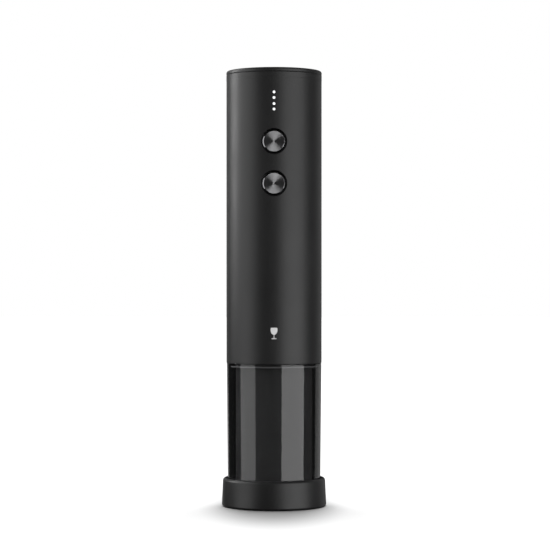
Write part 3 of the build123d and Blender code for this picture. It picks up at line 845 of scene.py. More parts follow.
BOARD = Finish(
    "board_lacquer", "board_green", (0.012, 0.085, 0.035), 0.32, 0.20, 0.06,
    grain_scale=1600, grain_height=0.004, cloud_scale=240, coat=0.3,
)
LED_WHITE = Finish(
    "diffusing_white", "led_white", (0.86, 0.87, 0.88), 0.30, 0.03, 0.04,
    grain_scale=5000, grain_height=0.001, cloud_scale=300, glow=0.45,
)
CONTACTS = RibbedFinish(
    "gold_contacts", "steel", (0.80, 0.60, 0.28), 0.28, 0.0, 0.05, metallic=1.0, ribs=2000,
)
MARK_GREY = Finish(
    "printed_mark", "led_white", (0.62, 0.62, 0.62), 0.50, 0.05, 0.04,
    grain_scale=6000, grain_height=0.001, cloud_scale=400,
)
CHIP_BLACK = Finish(
    "chip_resin", "board_green", (0.022, 0.022, 0.024), 0.50, 0.12, 0.05,
    grain_scale=5000, grain_height=0.004, cloud_scale=300,
)


def spun_steel(name: str, centre_z: float) -> TurnedFinish:
    """The spun face of a button, whose marks run round its own centre.

    Args:
        name: the material's name.
        centre_z: the height of the button's centre, in millimetres.

    Returns:
        The finish.
    """
    return TurnedFinish(
        name, "spun_steel", (0.52, 0.52, 0.53), 0.30, 0.10, 0.03, metallic=1.0, cloud_scale=250,
        anisotropy=0.95, pitch=9000, centre_z=centre_z, round_y=True, mark_depth=0.003,
    )


# ---- Putting pieces in the model ----------------------------------------------------------------


def fit(
    piece: bpy.types.Object, finish: Finish, body: str, replaced: Sequence[str] = ()
) -> bpy.types.Object:
    """Give a finished piece its material, and say what it rides on and what it stands for.

    Args:
        piece: the finished mesh object, at the origin.
        finish: its finish.
        body: the moving body that it belongs to.
        replaced: the solids that it stands for.

    Returns:
        The same piece.
    """
    piece.data.materials.clear()
    piece.data.materials.append(finish.make())
    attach(piece, body)
    if replaced:
        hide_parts(*replaced)
    LOG.info("%s rides on %s: %d faces", piece.name, body, len(piece.data.polygons))
    return piece


def dress(frame: dict, finish: Finish, *nodes: str) -> None:
    """Give carried-over solids a finish, in their own material slots.

    Args:
        frame: the loaded model.
        finish: the finish.
        nodes: the solids' names.
    """
    for name in nodes:
        solid = frame["nodes"][name]
        if not solid.material_slots:
            solid.data.materials.append(finish.make())
        for slot in solid.material_slots:
            slot.material = finish.make()
        LOG.info("%s is dressed in %s", name, finish.name)


def highest(node: str) -> float:
    """The height of a solid's top, in millimetres."""
    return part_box(node)[1].z / MM


def lowest(node: str) -> float:
    """The height of a solid's underside, in millimetres."""
    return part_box(node)[0].z / MM


# ---- Body tube ----------------------------------------------------------------------------------


class Side(Enum):
    """The two buttons."""

    UP = "up"
    DOWN = "down"


@dataclass
class BodyTube:
    """The matte tube with its lid, its four light dots and its printed mark."""

    radius: float = 25.0
    inner_radius: float = 23.2
    lid_radius: float = 25.05
    groove_height: float = 226.0
    groove_depth: float = 0.25
    lid_edge: float = 1.0
    foot_edge: float = 0.25
    parting_edge: float = 0.05
    skirt_depth: float = 2.6
    skirt_wall: float = 1.5
    wall_rows: tuple[float, ...] = (120, 158, 176, 182, 199, 204, 218)
    hole_start: float = 15.0
    hole_length: float = 14.0
    button_hole: float = 6.7
    button_heights: dict[Side, float] = field(
        default_factory=lambda: {Side.UP: 189.9, Side.DOWN: 168.3}
    )
    dot_radius: float = 0.7
    dot_heights: tuple[float, ...] = (215.2, 212.3, 209.2, 206.4)
    socket_height: float = 172.2
    socket_opening: tuple[float, float] = (10.2, 4.4)
    socket_corner: float = 2.1
    mark_height: float = 91.6

    def build(self) -> None:
        """Make the tube, its lid, the dots and the mark."""
        sleeve = self.make_sleeve()
        fit(sleeve, SOFT_BLACK, "opener", ["body_sleeve"])
        fit(self.make_lid(), SOFT_BLACK, "opener", ["top_cap"])
        fit(self.make_light_guide(), LED_WHITE, "opener", ["light_guide"])
        fit(self.make_mark(sleeve), MARK_GREY, "opener")

    def make_sleeve(self) -> bpy.types.Object:
        """Turn the tube and cut the holes for the buttons, the dots and the socket."""
        low, high = lowest("body_sleeve"), highest("body_sleeve")
        outside = [Ring(self.radius, low, self.foot_edge)]
        outside += [Ring(self.radius, height) for height in self.wall_rows]
        outside += [Ring(self.radius, high, self.parting_edge, 2)]
        inside = [Ring(self.inner_radius, high), Ring(self.inner_radius, low, 0.2, 2)]
        sleeve = turned("sleeve", outside + inside, End.JOINED, 256)
        for height in self.button_heights.values():
            self.drill(sleeve, self.button_hole, height, 96)
            round_rim(sleeve, (0, 0, height), self.button_hole, 0.14)
        for height in self.dot_heights:
            self.drill(sleeve, self.dot_radius + 0.04, height, 32)
        half_width, half_height = (size / 2 for size in self.socket_opening)
        opening = block(
            "opening",
            (-half_width, self.hole_start, self.socket_height - half_height),
            (half_width, self.radius + 5, self.socket_height + half_height),
        )
        with editing(opening):
            pick(opening, lambda ends: abs(ends[0].co.y - ends[1].co.y) > 0.01)
            bpy.ops.mesh.bevel(offset=self.socket_corner * MM, segments=8)
        cut(sleeve, opening)
        return smooth(sleeve)

    def drill(self, sleeve: bpy.types.Object, radius: float, height: float, sides: int) -> None:
        """Drill a round hole through the front of the tube.

        Args:
            sleeve: the tube.
            radius: the hole's radius.
            height: the height of its centre.
            sides: how many sides it has.
        """
        hole = turned("hole", [Ring(radius, 0), Ring(radius, self.hole_length)], End.CAPPED, sides)
        cut(sleeve, face_front(hole, height, self.hole_start))

    def make_lid(self) -> bpy.types.Object:
        """Turn the lid with its fine groove and its skirt."""
        low, high = highest("body_sleeve"), highest("top_cap")
        skirt_outside = self.inner_radius - 0.1
        skirt_inside = skirt_outside - self.skirt_wall
        rings = [
            Ring(skirt_inside, self.groove_height),
            Ring(skirt_inside, low - self.skirt_depth, 0.2, 2),
            Ring(skirt_outside, low - self.skirt_depth, 0.3, 2),
            Ring(skirt_outside, low),
            Ring(self.lid_radius, low, self.parting_edge, 2),
            Ring(self.lid_radius, self.groove_height - self.groove_depth, 0.08, 2),
            Ring(self.lid_radius - self.groove_depth, self.groove_height),
            Ring(self.lid_radius, self.groove_height + self.groove_depth, 0.08, 2),
            Ring(self.lid_radius, high, self.lid_edge, 8),
            Ring(self.radius * 0.5, high),
        ]
        return turned("lid", rings, End.CAPPED, 256)

    def make_light_guide(self) -> bpy.types.Object:
        """Make the bar of the light guide with its four pegs, domed at their outer ends."""
        low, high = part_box("light_guide")
        bar_front = self.inner_radius - 0.3
        bar = block(
            "bar",
            (low.x / MM, -bar_front, low.z / MM),
            (high.x / MM, high.y / MM, high.z / MM),
            0.6,
            3,
        )
        pegs = []
        for height in self.dot_heights:
            rings = [
                Ring(self.dot_radius, bar_front - 0.2),
                Ring(self.dot_radius, self.radius - 0.02, 0.14, 4),
            ]
            pegs.append(face_front(turned("peg", rings, End.CAPPED, 40), height))
        return smooth(joined("light_pegs", [bar, *pegs]))

    def make_mark(self, sleeve: bpy.types.Object) -> bpy.types.Object:
        """Print a small wine glass on the front of the tube, as a thin skin on its surface.

        Args:
            sleeve: the tube that the print lies on.

        Returns:
            The print.
        """
        bowl_radius, bowl_squash, bowl_rim = 1.75, 1.45, 1.1
        bowl_centre, stand_off = self.mark_height + 1.3, 2
        bowl = self.flat_disc(bowl_radius, 48, squash=bowl_squash)
        with editing(bowl):
            bpy.ops.mesh.select_all(action="SELECT")
            bpy.ops.mesh.bisect(
                plane_co=(0, 0, bowl_rim * MM), plane_no=(0, 0, 1), clear_outer=True
            )
        stem = self.flat_strip(0.36, (-4.4, -2.3))
        foot = self.flat_strip(2.5, (-4.7, -4.3))
        parts = [bowl, stem, foot]
        for part in parts:
            part.location = (0, -(self.radius + stand_off) * MM, bowl_centre * MM)
            place(part)
        mark = joined("printed_glass", parts)
        wrap = mark.modifiers.new("wrap", "SHRINKWRAP")
        wrap.target = sleeve
        wrap.wrap_method = "PROJECT"
        wrap.use_project_y = True
        wrap.use_positive_direction = True
        wrap.offset = 0.02 * MM
        bpy.ops.object.modifier_apply(modifier=wrap.name)
        return mark

    @staticmethod
    def flat_disc(radius: float, sides: int, squash: float) -> bpy.types.Object:
        """Make a flat upright disc of rings, stretched upwards, that faces -Y."""
        bpy.ops.mesh.primitive_circle_add(vertices=sides, radius=radius * MM, fill_type="NGON")
        disc = bpy.context.active_object
        disc.rotation_euler = (math.pi / 2, 0, 0)
        disc.scale = (1, squash, 1)
        place(disc)
        with editing(disc):
            bpy.ops.mesh.select_all(action="SELECT")
            for _ in range(3):
                bpy.ops.mesh.inset(thickness=radius * 0.24 * MM, use_even_offset=True)
        return disc

    @staticmethod
    def flat_strip(width: float, span: tuple[float, float]) -> bpy.types.Object:
        """Make a flat upright strip that faces -Y, divided so that it can follow a curve."""
        bpy.ops.mesh.primitive_grid_add(x_subdivisions=8, y_subdivisions=6, size=1)
        strip = bpy.context.active_object
        strip.rotation_euler = (math.pi / 2, 0, 0)
        strip.scale = (width * MM, (span[1] - span[0]) * MM, 1)
        strip.location = (0, 0, (span[0] + span[1]) / 2 * MM)
        return place(strip)


# ---- Buttons ------------------------------------------------------------------------------------


@dataclass
class Button:
    """One push button: a spun disc in a bevelled ring with a flange and a stem behind it."""

    side: Side
    height: float
    ring_radius: float = 6.12
    disc_radius: float = 5.25
    face: float = 24.6
    bevel_depth: float = 0.76
    bevel_width: float = 0.8
    flange_radius: float = 7.4
    flange_back: float = 20.6
    flange_front: float = 21.6
    stem_radius: float = 1.7
    stem_back: float = 18.6
    pocket_depth: float = 0.5

    def build(self) -> None:
        """Make the ring and the disc."""
        body = f"button_{self.side.value}"
        fit(self.make_ring(f"{body}_ring"), DARK_CHROME, body, [f"{body}_rim"])
        finish = spun_steel(f"spun_steel_{self.side.value}", self.height)
        fit(self.make_disc(f"{body}_face"), finish, body, [f"{body}_disc"])

    def make_ring(self, name: str) -> bpy.types.Object:
        """Turn the bevelled ring with its flange and stem."""
        pocket = self.face - self.pocket_depth
        rings = [
            Ring(self.stem_radius, self.stem_back, 0.3, 3),
            Ring(self.stem_radius, self.flange_back, 0.2, 2),
            Ring(self.flange_radius, self.flange_back, 0.15, 2),
            Ring(self.flange_radius, self.flange_front, 0.15, 2),
            Ring(self.ring_radius, self.flange_front),
            Ring(self.ring_radius, self.face - self.bevel_depth, 0.06, 3),
            Ring(self.ring_radius - self.bevel_width, self.face, 0.03, 3),
            Ring(self.disc_radius + 0.02, self.face),
            Ring(self.disc_radius + 0.02, pocket),
        ]
        return face_front(turned(name, rings, End.CAPPED, 128), self.height)

    def make_disc(self, name: str) -> bpy.types.Object:
        """Turn the flat disc with its centre dimple."""
        face = self.face - 0.02
        back = self.face - self.pocket_depth + 0.01
        rings = [Ring(self.disc_radius, back), Ring(self.disc_radius, face)]
        rings += [Ring(self.disc_radius * share, face) for share in (0.8, 0.6, 0.4, 0.2)]
        rings += [Ring(0.26, face), Ring(0.1, face - 0.05)]
        return face_front(turned(name, rings, End.CAPPED, 128), self.height)


# ---- Smoked cup and what stands in it -----------------------------------------------------------


@dataclass
class NeckCup:
    """The smoked cup, its centring ring, the neck guide, the cork guide and the stop pad."""

    foot_radius: float = 24.25
    shoulder_radius: float = 24.85
    shoulder: float = 75.0
    shoulder_edge: float = 0.12
    shoulder_thickness: float = 1.0
    groove: float = 74.35
    groove_depth: float = 0.08
    wall: float = 1.9
    neck_radius: float = 23.1
    neck_inner_radius: float = 21.3
    ring_radius: float = 22.8
    guide_radius: float = 20.0
    guide_wall: float = 1.4
    mouth_radius: float = 15.75
    mouth_top: float = 15.2
    flange_thickness: float = 2.0
    rib_count: int = 8
    rib_radius: float = 15.95
    rib_thickness: float = 1.2
    rib_top: float = 57.4
    cork_radius: float = 12.6
    cork_wall: float = 1.6
    seat_flange: float = 2.2
    gusset_count: int = 6
    gusset_reach: float = 18.3
    gusset_thickness: float = 1.4

    def build(self) -> None:
        """Make the five pieces."""
        fit(self.make_cup(), SMOKED, "opener", ["clear_cup"])
        # The centring ring's lighter grey is a painted highlight.
        fit(self.make_centring_ring(), RING_GREY_PAINTED_HIGHLIGHT, "opener", ["centring_ring"])
        fit(self.make_neck_guide(), GUIDE_BLACK, "opener", ["neck_guide"])
        fit(self.make_cork_guide(), GUIDE_BLACK, "opener", ["cork_guide"])
        fit(self.make_stop_pad(), RUBBER, "opener", ["lip_stop_pad"])

    def make_cup(self) -> bpy.types.Object:
        """Turn the clear cup, a little wider at its shoulder than at its foot."""
        low, high = lowest("clear_cup"), highest("clear_cup")
        underside = self.shoulder - self.shoulder_thickness
        rings = [
            Ring(self.foot_radius - self.wall, low, 0.6, 4),
            Ring(self.foot_radius, low, 0.6, 4),
            Ring(self.shoulder_radius, self.groove - self.groove_depth, 0.03, 2),
            Ring(self.shoulder_radius - self.groove_depth, self.groove),
            Ring(self.shoulder_radius, self.groove + self.groove_depth, 0.03, 2),
            Ring(self.shoulder_radius, self.shoulder, self.shoulder_edge, 4),
            Ring(self.neck_radius, self.shoulder, 0.15, 2),
            Ring(self.neck_radius, high, 0.2, 2),
            Ring(self.neck_inner_radius, high, 0.2, 2),
            Ring(self.neck_inner_radius, underside, 0.15, 2),
            Ring(self.shoulder_radius - self.wall, underside, 0.15, 2),
        ]
        return turned("smoked_cup", rings, End.JOINED, 256)

    def make_centring_ring(self) -> bpy.types.Object:
        """Turn the thin ring that centres the neck guide in the cup."""
        low, high = lowest("centring_ring"), highest("centring_ring")
        rings = [
            Ring(self.guide_radius + 0.02, low),
            Ring(self.ring_radius, low, 0.15, 3),
            Ring(self.ring_radius, high, 0.3, 3),
            Ring(self.guide_radius + 0.02, high),
        ]
        return turned("guide_ring", rings, End.JOINED, 192)

    def make_neck_guide(self) -> bpy.types.Object:
        """Turn the guide that centres a bottle's neck, with its ribs."""
        low, high = lowest("neck_guide"), highest("neck_guide")
        inside = self.guide_radius - self.guide_wall
        rings = [
            Ring(self.mouth_radius, low, 0.6, 3),
            Ring(self.guide_radius, low, 0.6, 4),
            Ring(self.guide_radius, high - self.flange_thickness, 0.2, 2),
            Ring(self.neck_inner_radius, high - self.flange_thickness, 0.15, 2),
            Ring(self.neck_inner_radius, high, 0.15, 2),
            Ring(inside, high, 0.15, 2),
            Ring(inside, self.mouth_top, 0.2, 2),
            Ring(self.mouth_radius, self.mouth_top, 0.4, 3),
        ]
        shell = turned("guide_shell", rings, End.JOINED, 192)
        ribs = self.spokes(
            self.rib_count,
            180 / self.rib_count,
            (self.rib_radius, inside + 0.3),
            self.rib_thickness,
            (self.mouth_top - 0.2, self.rib_top),
        )
        return smooth(joined("guide_with_ribs", [shell, *ribs]))

    def make_cork_guide(self) -> bpy.types.Object:
        """Turn the cork's chamber with its two flanges, and add the gussets between them."""
        low, high = lowest("cork_guide"), highest("cork_guide")
        seat = highest("neck_guide")
        outside = self.cork_radius + self.cork_wall
        wide = self.guide_radius - self.guide_wall - 0.02
        rings = [
            Ring(self.cork_radius, low, 0.6, 3),
            Ring(wide, low, 0.2, 2),
            Ring(wide, low + self.flange_thickness, 0.2, 2),
            Ring(outside, low + self.flange_thickness, 0.2, 2),
            Ring(outside, seat),
            Ring(self.neck_inner_radius, seat, 0.15, 2),
            Ring(self.neck_inner_radius, seat + self.seat_flange, 0.15, 2),
            Ring(outside, seat + self.seat_flange, 0.2, 2),
            Ring(outside, high, 0.3, 2),
            Ring(self.cork_radius, high, 0.4, 3),
        ]
        shell = turned("chamber_shell", rings, End.JOINED, 160)
        gussets = self.spokes(
            self.gusset_count,
            0,
            (outside - 0.3, self.gusset_reach),
            self.gusset_thickness,
            (low + 1.8, seat + 0.2),
        )
        return smooth(joined("cork_chamber", [shell, *gussets]))

    def make_stop_pad(self) -> bpy.types.Object:
        """Turn the rubber pad that a bottle's lip stops against, with two ridges under it."""
        low, high = lowest("lip_stop_pad"), highest("lip_stop_pad")
        inner, outer = self.cork_radius + 0.4, self.guide_radius - self.guide_wall - 0.3
        ridge = 0.3
        rings = [Ring(inner, high), Ring(inner, low + ridge, 0.1, 2)]
        for share in (0.25, 0.6):
            radius = inner + (outer - inner) * share
            rings += [
                Ring(radius - 0.5, low + ridge),
                Ring(radius - 0.3, low, 0.1, 2),
                Ring(radius + 0.3, low, 0.1, 2),
                Ring(radius + 0.5, low + ridge),
            ]
        rings += [Ring(outer, low + ridge, 0.2, 2), Ring(outer, high)]
        return turned("stop_pad", rings, End.JOINED, 128)

    @staticmethod
    def spokes(
        count: int,
        first: float,
        reach: tuple[float, float],
        thickness: float,
        span: tuple[float, float],
    ) -> list[bpy.types.Object]:
        """Make upright plates round the Z axis.

        Args:
            count: how many plates.
            first: the first plate's angle in degrees.
            reach: their inner and outer radius.
            thickness: their thickness.
            span: their lowest and highest point.

        Returns:
            The plates, each with its own mesh.
        """
        low, high = (reach[0], -thickness / 2, span[0]), (reach[1], thickness / 2, span[1])
        model = block("plate", low, high, 0.25)
        plates = []
        for number in range(count):
            plate = duplicate(model)
            plate.rotation_euler = (0, 0, math.radians(first + 360 * number / count))
            plates.append(place(plate))
        bpy.data.objects.remove(model)
        return plates


# ---- Worm ---------------------------------------------------------------------------------------


@dataclass
class Worm:
    """The worm: a polished wire wound into an open helix, with a long ground point."""

    pitch: float = 9.5
    mean_radius: float = 3.1
    wire_radius: float = 1.35
    point_length: float = 5.5
    tip: float = 20.6
    top: float = 103.0
    steps_per_turn: int = 64
    point_steps: int = 6
    point_curve: float = 1.25
    tip_size: float = 0.03

    def build(self) -> None:
        """Make the worm."""
        fit(self.make_worm(), WORM_STEEL, "worm_drive", ["worm"])

    def make_worm(self) -> bpy.types.Object:
        """Screw a round section up the axis, then draw its lower end out to a point."""
        lean = math.atan2(self.pitch, 2 * math.pi * self.mean_radius)
        start = self.tip + self.point_length * 0.25
        bpy.ops.mesh.primitive_circle_add(vertices=28, radius=self.wire_radius * MM)
        wire = bpy.context.active_object
        wire.name = "worm_wire"
        wire.scale = (1, 1 / math.cos(lean), 1)
        wire.rotation_euler = (math.pi / 2, 0, 0)
        wire.location = (self.mean_radius * MM, 0, start * MM)
        place(wire)
        turns = (self.top - start) / self.pitch
        screw = wire.modifiers.new("helix", "SCREW")
        screw.axis = "Z"
        screw.angle = turns * 2 * math.pi
        screw.screw_offset = turns * self.pitch * MM
        screw.steps = round(turns * self.steps_per_turn)
        screw.render_steps = screw.steps
        bpy.ops.object.modifier_apply(modifier=screw.name)
        ahead = (0, -math.cos(lean), -math.sin(lean))

        def first_section(ends: Sequence[bmesh.types.BMVert]) -> bool:
            return all(abs(v.co.y) < 1e-7 and v.co.z < (start + 2) * MM for v in ends)

        def top_rim(ends: Sequence[bmesh.types.BMVert]) -> bool:
            return all(len(v.link_faces) < 4 and v.co.z > (self.top - 3) * MM for v in ends)

        with editing(wire):
            pick(wire, first_section)
            centre = [self.mean_radius * MM, 0.0, start * MM]
            size = 1.0
            run = self.point_length / self.point_steps * MM
            for step in range(1, self.point_steps + 1):
                shift = [run * part for part in ahead]
                bpy.ops.mesh.extrude_region_move(TRANSFORM_OT_translate={"value": shift})
                centre = [value + part for value, part in zip(centre, shift)]
                wanted = max(1 - (step / self.point_steps) ** self.point_curve, self.tip_size)
                growth = wanted / size
                size = wanted
                bpy.ops.transform.resize(value=(growth, growth, growth), center_override=centre)
            close_ring()
            pick(wire, top_rim)
            bpy.ops.mesh.edge_face_add()
            face_outwards()
        LOG.info("the worm makes %.2f turns", turns)
        return smooth(wire, 40)


# ---- Foil cutter --------------------------------------------------------------------------------


@dataclass
class FoilCutter:
    """The round stand with its rubber ring and the four wheels that cut the foil."""

    foot_radius: float = 27.4
    shoulder_radius: float = 26.8
    top_edge: float = 1.5
    foot_edge: float = 0.8
    bore_radius: float = 24.8
    recess_radius: float = 24.65
    deck: tuple[float, float] = (8.8, 10.2)
    ring_radii: tuple[float, float] = (25.3, 26.5)
    wheel_radius: float = 4.5
    wheel_bore: float = 0.98
    wheel_thickness: float = 0.9
    bevel_width: float = 1.2
    wheel_circle: float = 18.7
    wheel_height: float = 3.4
    wheel_count: int = 4

    def build(self) -> None:
        """Make the stand, its ring and its wheels."""
        fit(self.make_shell(), MOULDED_BLACK, "base", ["base_shell"])
        fit(self.make_ring(), RUBBER, "base", ["foot_ring"])
        self.make_wheels()

    def make_shell(self) -> bpy.types.Object:
        """Turn the stand with its recess for the cup and its groove for the rubber ring."""
        low, high = lowest("base_shell"), highest("base_shell")
        groove_top = highest("foot_ring")
        inner, outer = self.ring_radii
        rings = [
            Ring(self.bore_radius, self.deck[0]),
            Ring(self.bore_radius, low, 0.15, 2),
            Ring(inner, low, 0.1, 2),
            Ring(inner, groove_top),
            Ring(outer, groove_top),
            Ring(outer, low),
            Ring(self.foot_radius, low, self.foot_edge, 5),
            Ring(self.foot_radius, low + 1.1),
            Ring(self.shoulder_radius, high, self.top_edge, 8),
            Ring(self.recess_radius, high, 0.35, 3),
            Ring(self.recess_radius, self.deck[1], 0.3, 3),
            Ring(self.recess_radius * 0.6, self.deck[1]),
        ]
        return turned("stand", rings, End.CAPPED, 256)

    def make_ring(self) -> bpy.types.Object:
        """Turn the rubber ring with three fine ridges under it."""
        low, high = lowest("foot_ring"), highest("foot_ring")
        inner, outer = self.ring_radii
        rings = [Ring(inner, high), Ring(inner, low + 0.15)]
        pitch = (outer - inner) / 3
        for number in range(3):
            start = inner + number * pitch
            rings += [
                Ring(start + pitch * 0.25, low),
                Ring(start + pitch * 0.75, low),
                Ring(start + pitch, low + 0.15),
            ]
        rings += [Ring(outer, high)]
        return turned("rubber_ring", rings, End.JOINED, 192)

    def make_wheels(self) -> None:
        """Turn one cutting wheel with a sharp double bevel, and set its four copies in place."""
        half, land = self.wheel_thickness / 2, 0.03
        flat = self.wheel_radius - self.bevel_width
        rings = [
            Ring(self.wheel_bore, -half, 0.06, 2),
            Ring(flat, -half),
            Ring(self.wheel_radius, -land),
            Ring(self.wheel_radius, land),
            Ring(flat, half),
            Ring(self.wheel_bore, half, 0.06, 2),
        ]
        model = turned("wheel_model", rings, End.JOINED, 96)
        for number in range(self.wheel_count):
            turn = 2 * math.pi * number / self.wheel_count
            wheel = duplicate(model)
            wheel.name = f"wheel_{number + 1}"
            wheel.location = (
                self.wheel_circle * math.cos(turn) * MM,
                self.wheel_circle * math.sin(turn) * MM,
                self.wheel_height * MM,
            )
            place(smooth(wheel, 12))
            fit(wheel, WHEEL_STEEL, f"cutting_wheel_{number + 1}", [f"cutting_wheel_{number + 1}"])
        bpy.data.objects.remove(model)


# ---- Inner works --------------------------------------------------------------------------------


@dataclass
class InnerWorks:
    """What the tube holds: the frame, the gear train, the motor, the cell and the board."""

    pole_count: int = 5
    winding_reach: tuple[float, float] = (3.5, 7.4)
    winding_width: float = 3.0
    winding_bulge: float = 1.5

    def build(self, frame: dict) -> None:
        """Dress the solids that keep their shape, and add the windings and the board's parts.

        Args:
            frame: the loaded model.
        """
        carried_over = {
            STEEL: (
                "worm_hub", "output_carrier", "carrier_1", "carrier_2", "motor_shaft",
                "wheel_axles", "base_screws", "chassis_screws", "gearbox_screws",
                "battery_tabs", "charging_socket",
            ),
            ACETAL: tuple(f"planet_{stage}{letter}" for stage in (1, 2, 3) for letter in "abc"),
            NYLON: (
                "wheel_carrier_lower", "wheel_carrier_upper", "chassis_front", "chassis_rear",
                "gearbox_ring", "gearbox_output_plate", "gearbox_motor_plate", "motor_end_bell",
                "tact_switches",
            ),
            BRONZE: ("output_bearing", "motor_bearings", "motor_pinion"),
            ZINC: ("motor_can",),
            FERRITE: ("motor_magnets",),
            COPPER: ("commutator", "inner_leads"),
            LAMINATED: ("armature_core",),
            CELL_WRAP: ("battery_cell",),
            BOARD: ("circuit_board", "charging_board"),
            LED_WHITE: ("indicator_leds",),
        }
        for finish, nodes in carried_over.items():
            dress(frame, finish, *nodes)
        fit(self.make_windings(), COPPER, "armature")
        fit(self.make_chips(), CHIP_BLACK, "opener")
        fit(self.make_contacts(), CONTACTS, "opener")

    def make_windings(self) -> bpy.types.Object:
        """Wind a coil round each of the armature's poles."""
        low, high = lowest("armature_core"), highest("armature_core")
        coils = []
        for number in range(self.pole_count):
            coil = block(
                "coil",
                (self.winding_reach[0], -self.winding_width / 2, low - self.winding_bulge),
                (self.winding_reach[1] - 1.0, self.winding_width / 2, high + self.winding_bulge),
                1.1,
                4,
            )
            coil.rotation_euler = (0, 0, 2 * math.pi * number / self.pole_count)
            coils.append(place(coil))
        return smooth(joined("armature_windings", coils))

    def make_chips(self) -> bpy.types.Object:
        """Set the small parts on the board's front face."""
        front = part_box("circuit_board")[0].y / MM
        parts = {
            "controller": ((-9, 176.5), (5.2, 5.2), 1.1),
            "charger": ((5.2, 177.0), (4.2, 3.2), 0.9),
            "bridge": ((-3.4, 176.0), (6.2, 4.4), 1.3),
            "coil": ((4.6, 198.0), (5.0, 5.0), 2.0),
            "capacitor": ((-9.0, 198.5), (3.2, 1.8), 1.2),
            "resistor": ((-9.0, 202.0), (2.0, 1.25), 0.5),
            "divider": ((-5.6, 202.0), (2.0, 1.25), 0.5),
            "filter": ((-5.0, 198.6), (2.0, 1.25), 0.8),
        }
        made = []
        for label, ((left, low), (width, height), rise) in parts.items():
            far_corner = (left + width, front + 0.02, low + height)
            made.append(block(label, (left, front - rise, low), far_corner, 0.15))
        return smooth(joined("board_parts", made))

    def make_contacts(self) -> bpy.types.Object:
        """Lay the contacts on the charging socket's tongue."""
        low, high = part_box("charging_socket")
        middle = (low.z + high.z) / 2 / MM
        tongue_back, tongue_front = low.y / MM + 1.6, high.y / MM - 1.2
        half_width, half_height = 2.9, 0.39
        return block(
            "socket_contacts",
            (-half_width, tongue_back, middle - half_height),
            (half_width, tongue_front, middle + half_height),
            0.1,
        )


# ---- Studio -------------------------------------------------------------------------------------


@dataclass
class Softbox:
    """An upright rectangular light that faces the opener.

    Attributes:
        name: the light's name.
        bearing: its direction in degrees from the camera's side, towards +X.
        distance: how far it stands from the axis, in metres.
        size: its width and height in metres.
        height: its centre's height in metres.
        radiance: how bright its face is.
        spares: the pieces that it doesn't light.
    """

    name: str
    bearing: float
    distance: float
    size: tuple[float, float]
    height: float
    radiance: float
    spares: tuple[str, ...] = ()

    def build(self, floor: bpy.types.Object) -> None:
        """Make the light.

        Args:
            floor: the floor, which it doesn't light either.
        """
        bpy.ops.object.light_add(type="AREA")
        lamp = bpy.context.active_object
        lamp.name = self.name
        lamp.data.shape = "RECTANGLE"
        lamp.data.size, lamp.data.size_y = self.size
        lamp.data.energy = self.radiance * math.pi * self.size[0] * self.size[1]
        turn = math.radians(self.bearing)
        lamp.location = (
            self.distance * math.sin(turn), -self.distance * math.cos(turn), self.height
        )
        lamp.rotation_euler = (math.pi / 2, 0, turn)
        lamp.visible_camera = False
        lamp.visible_transmission = False
        unlit = bpy.data.collections.new(f"not_lit_by_{self.name}")
        for spared in (floor, *(bpy.data.objects[name] for name in self.spares)):
            unlit.objects.link(spared)
        for member in unlit.collection_objects:
            member.light_linking.link_state = "EXCLUDE"
        lamp.light_linking.receiver_collection = unlit


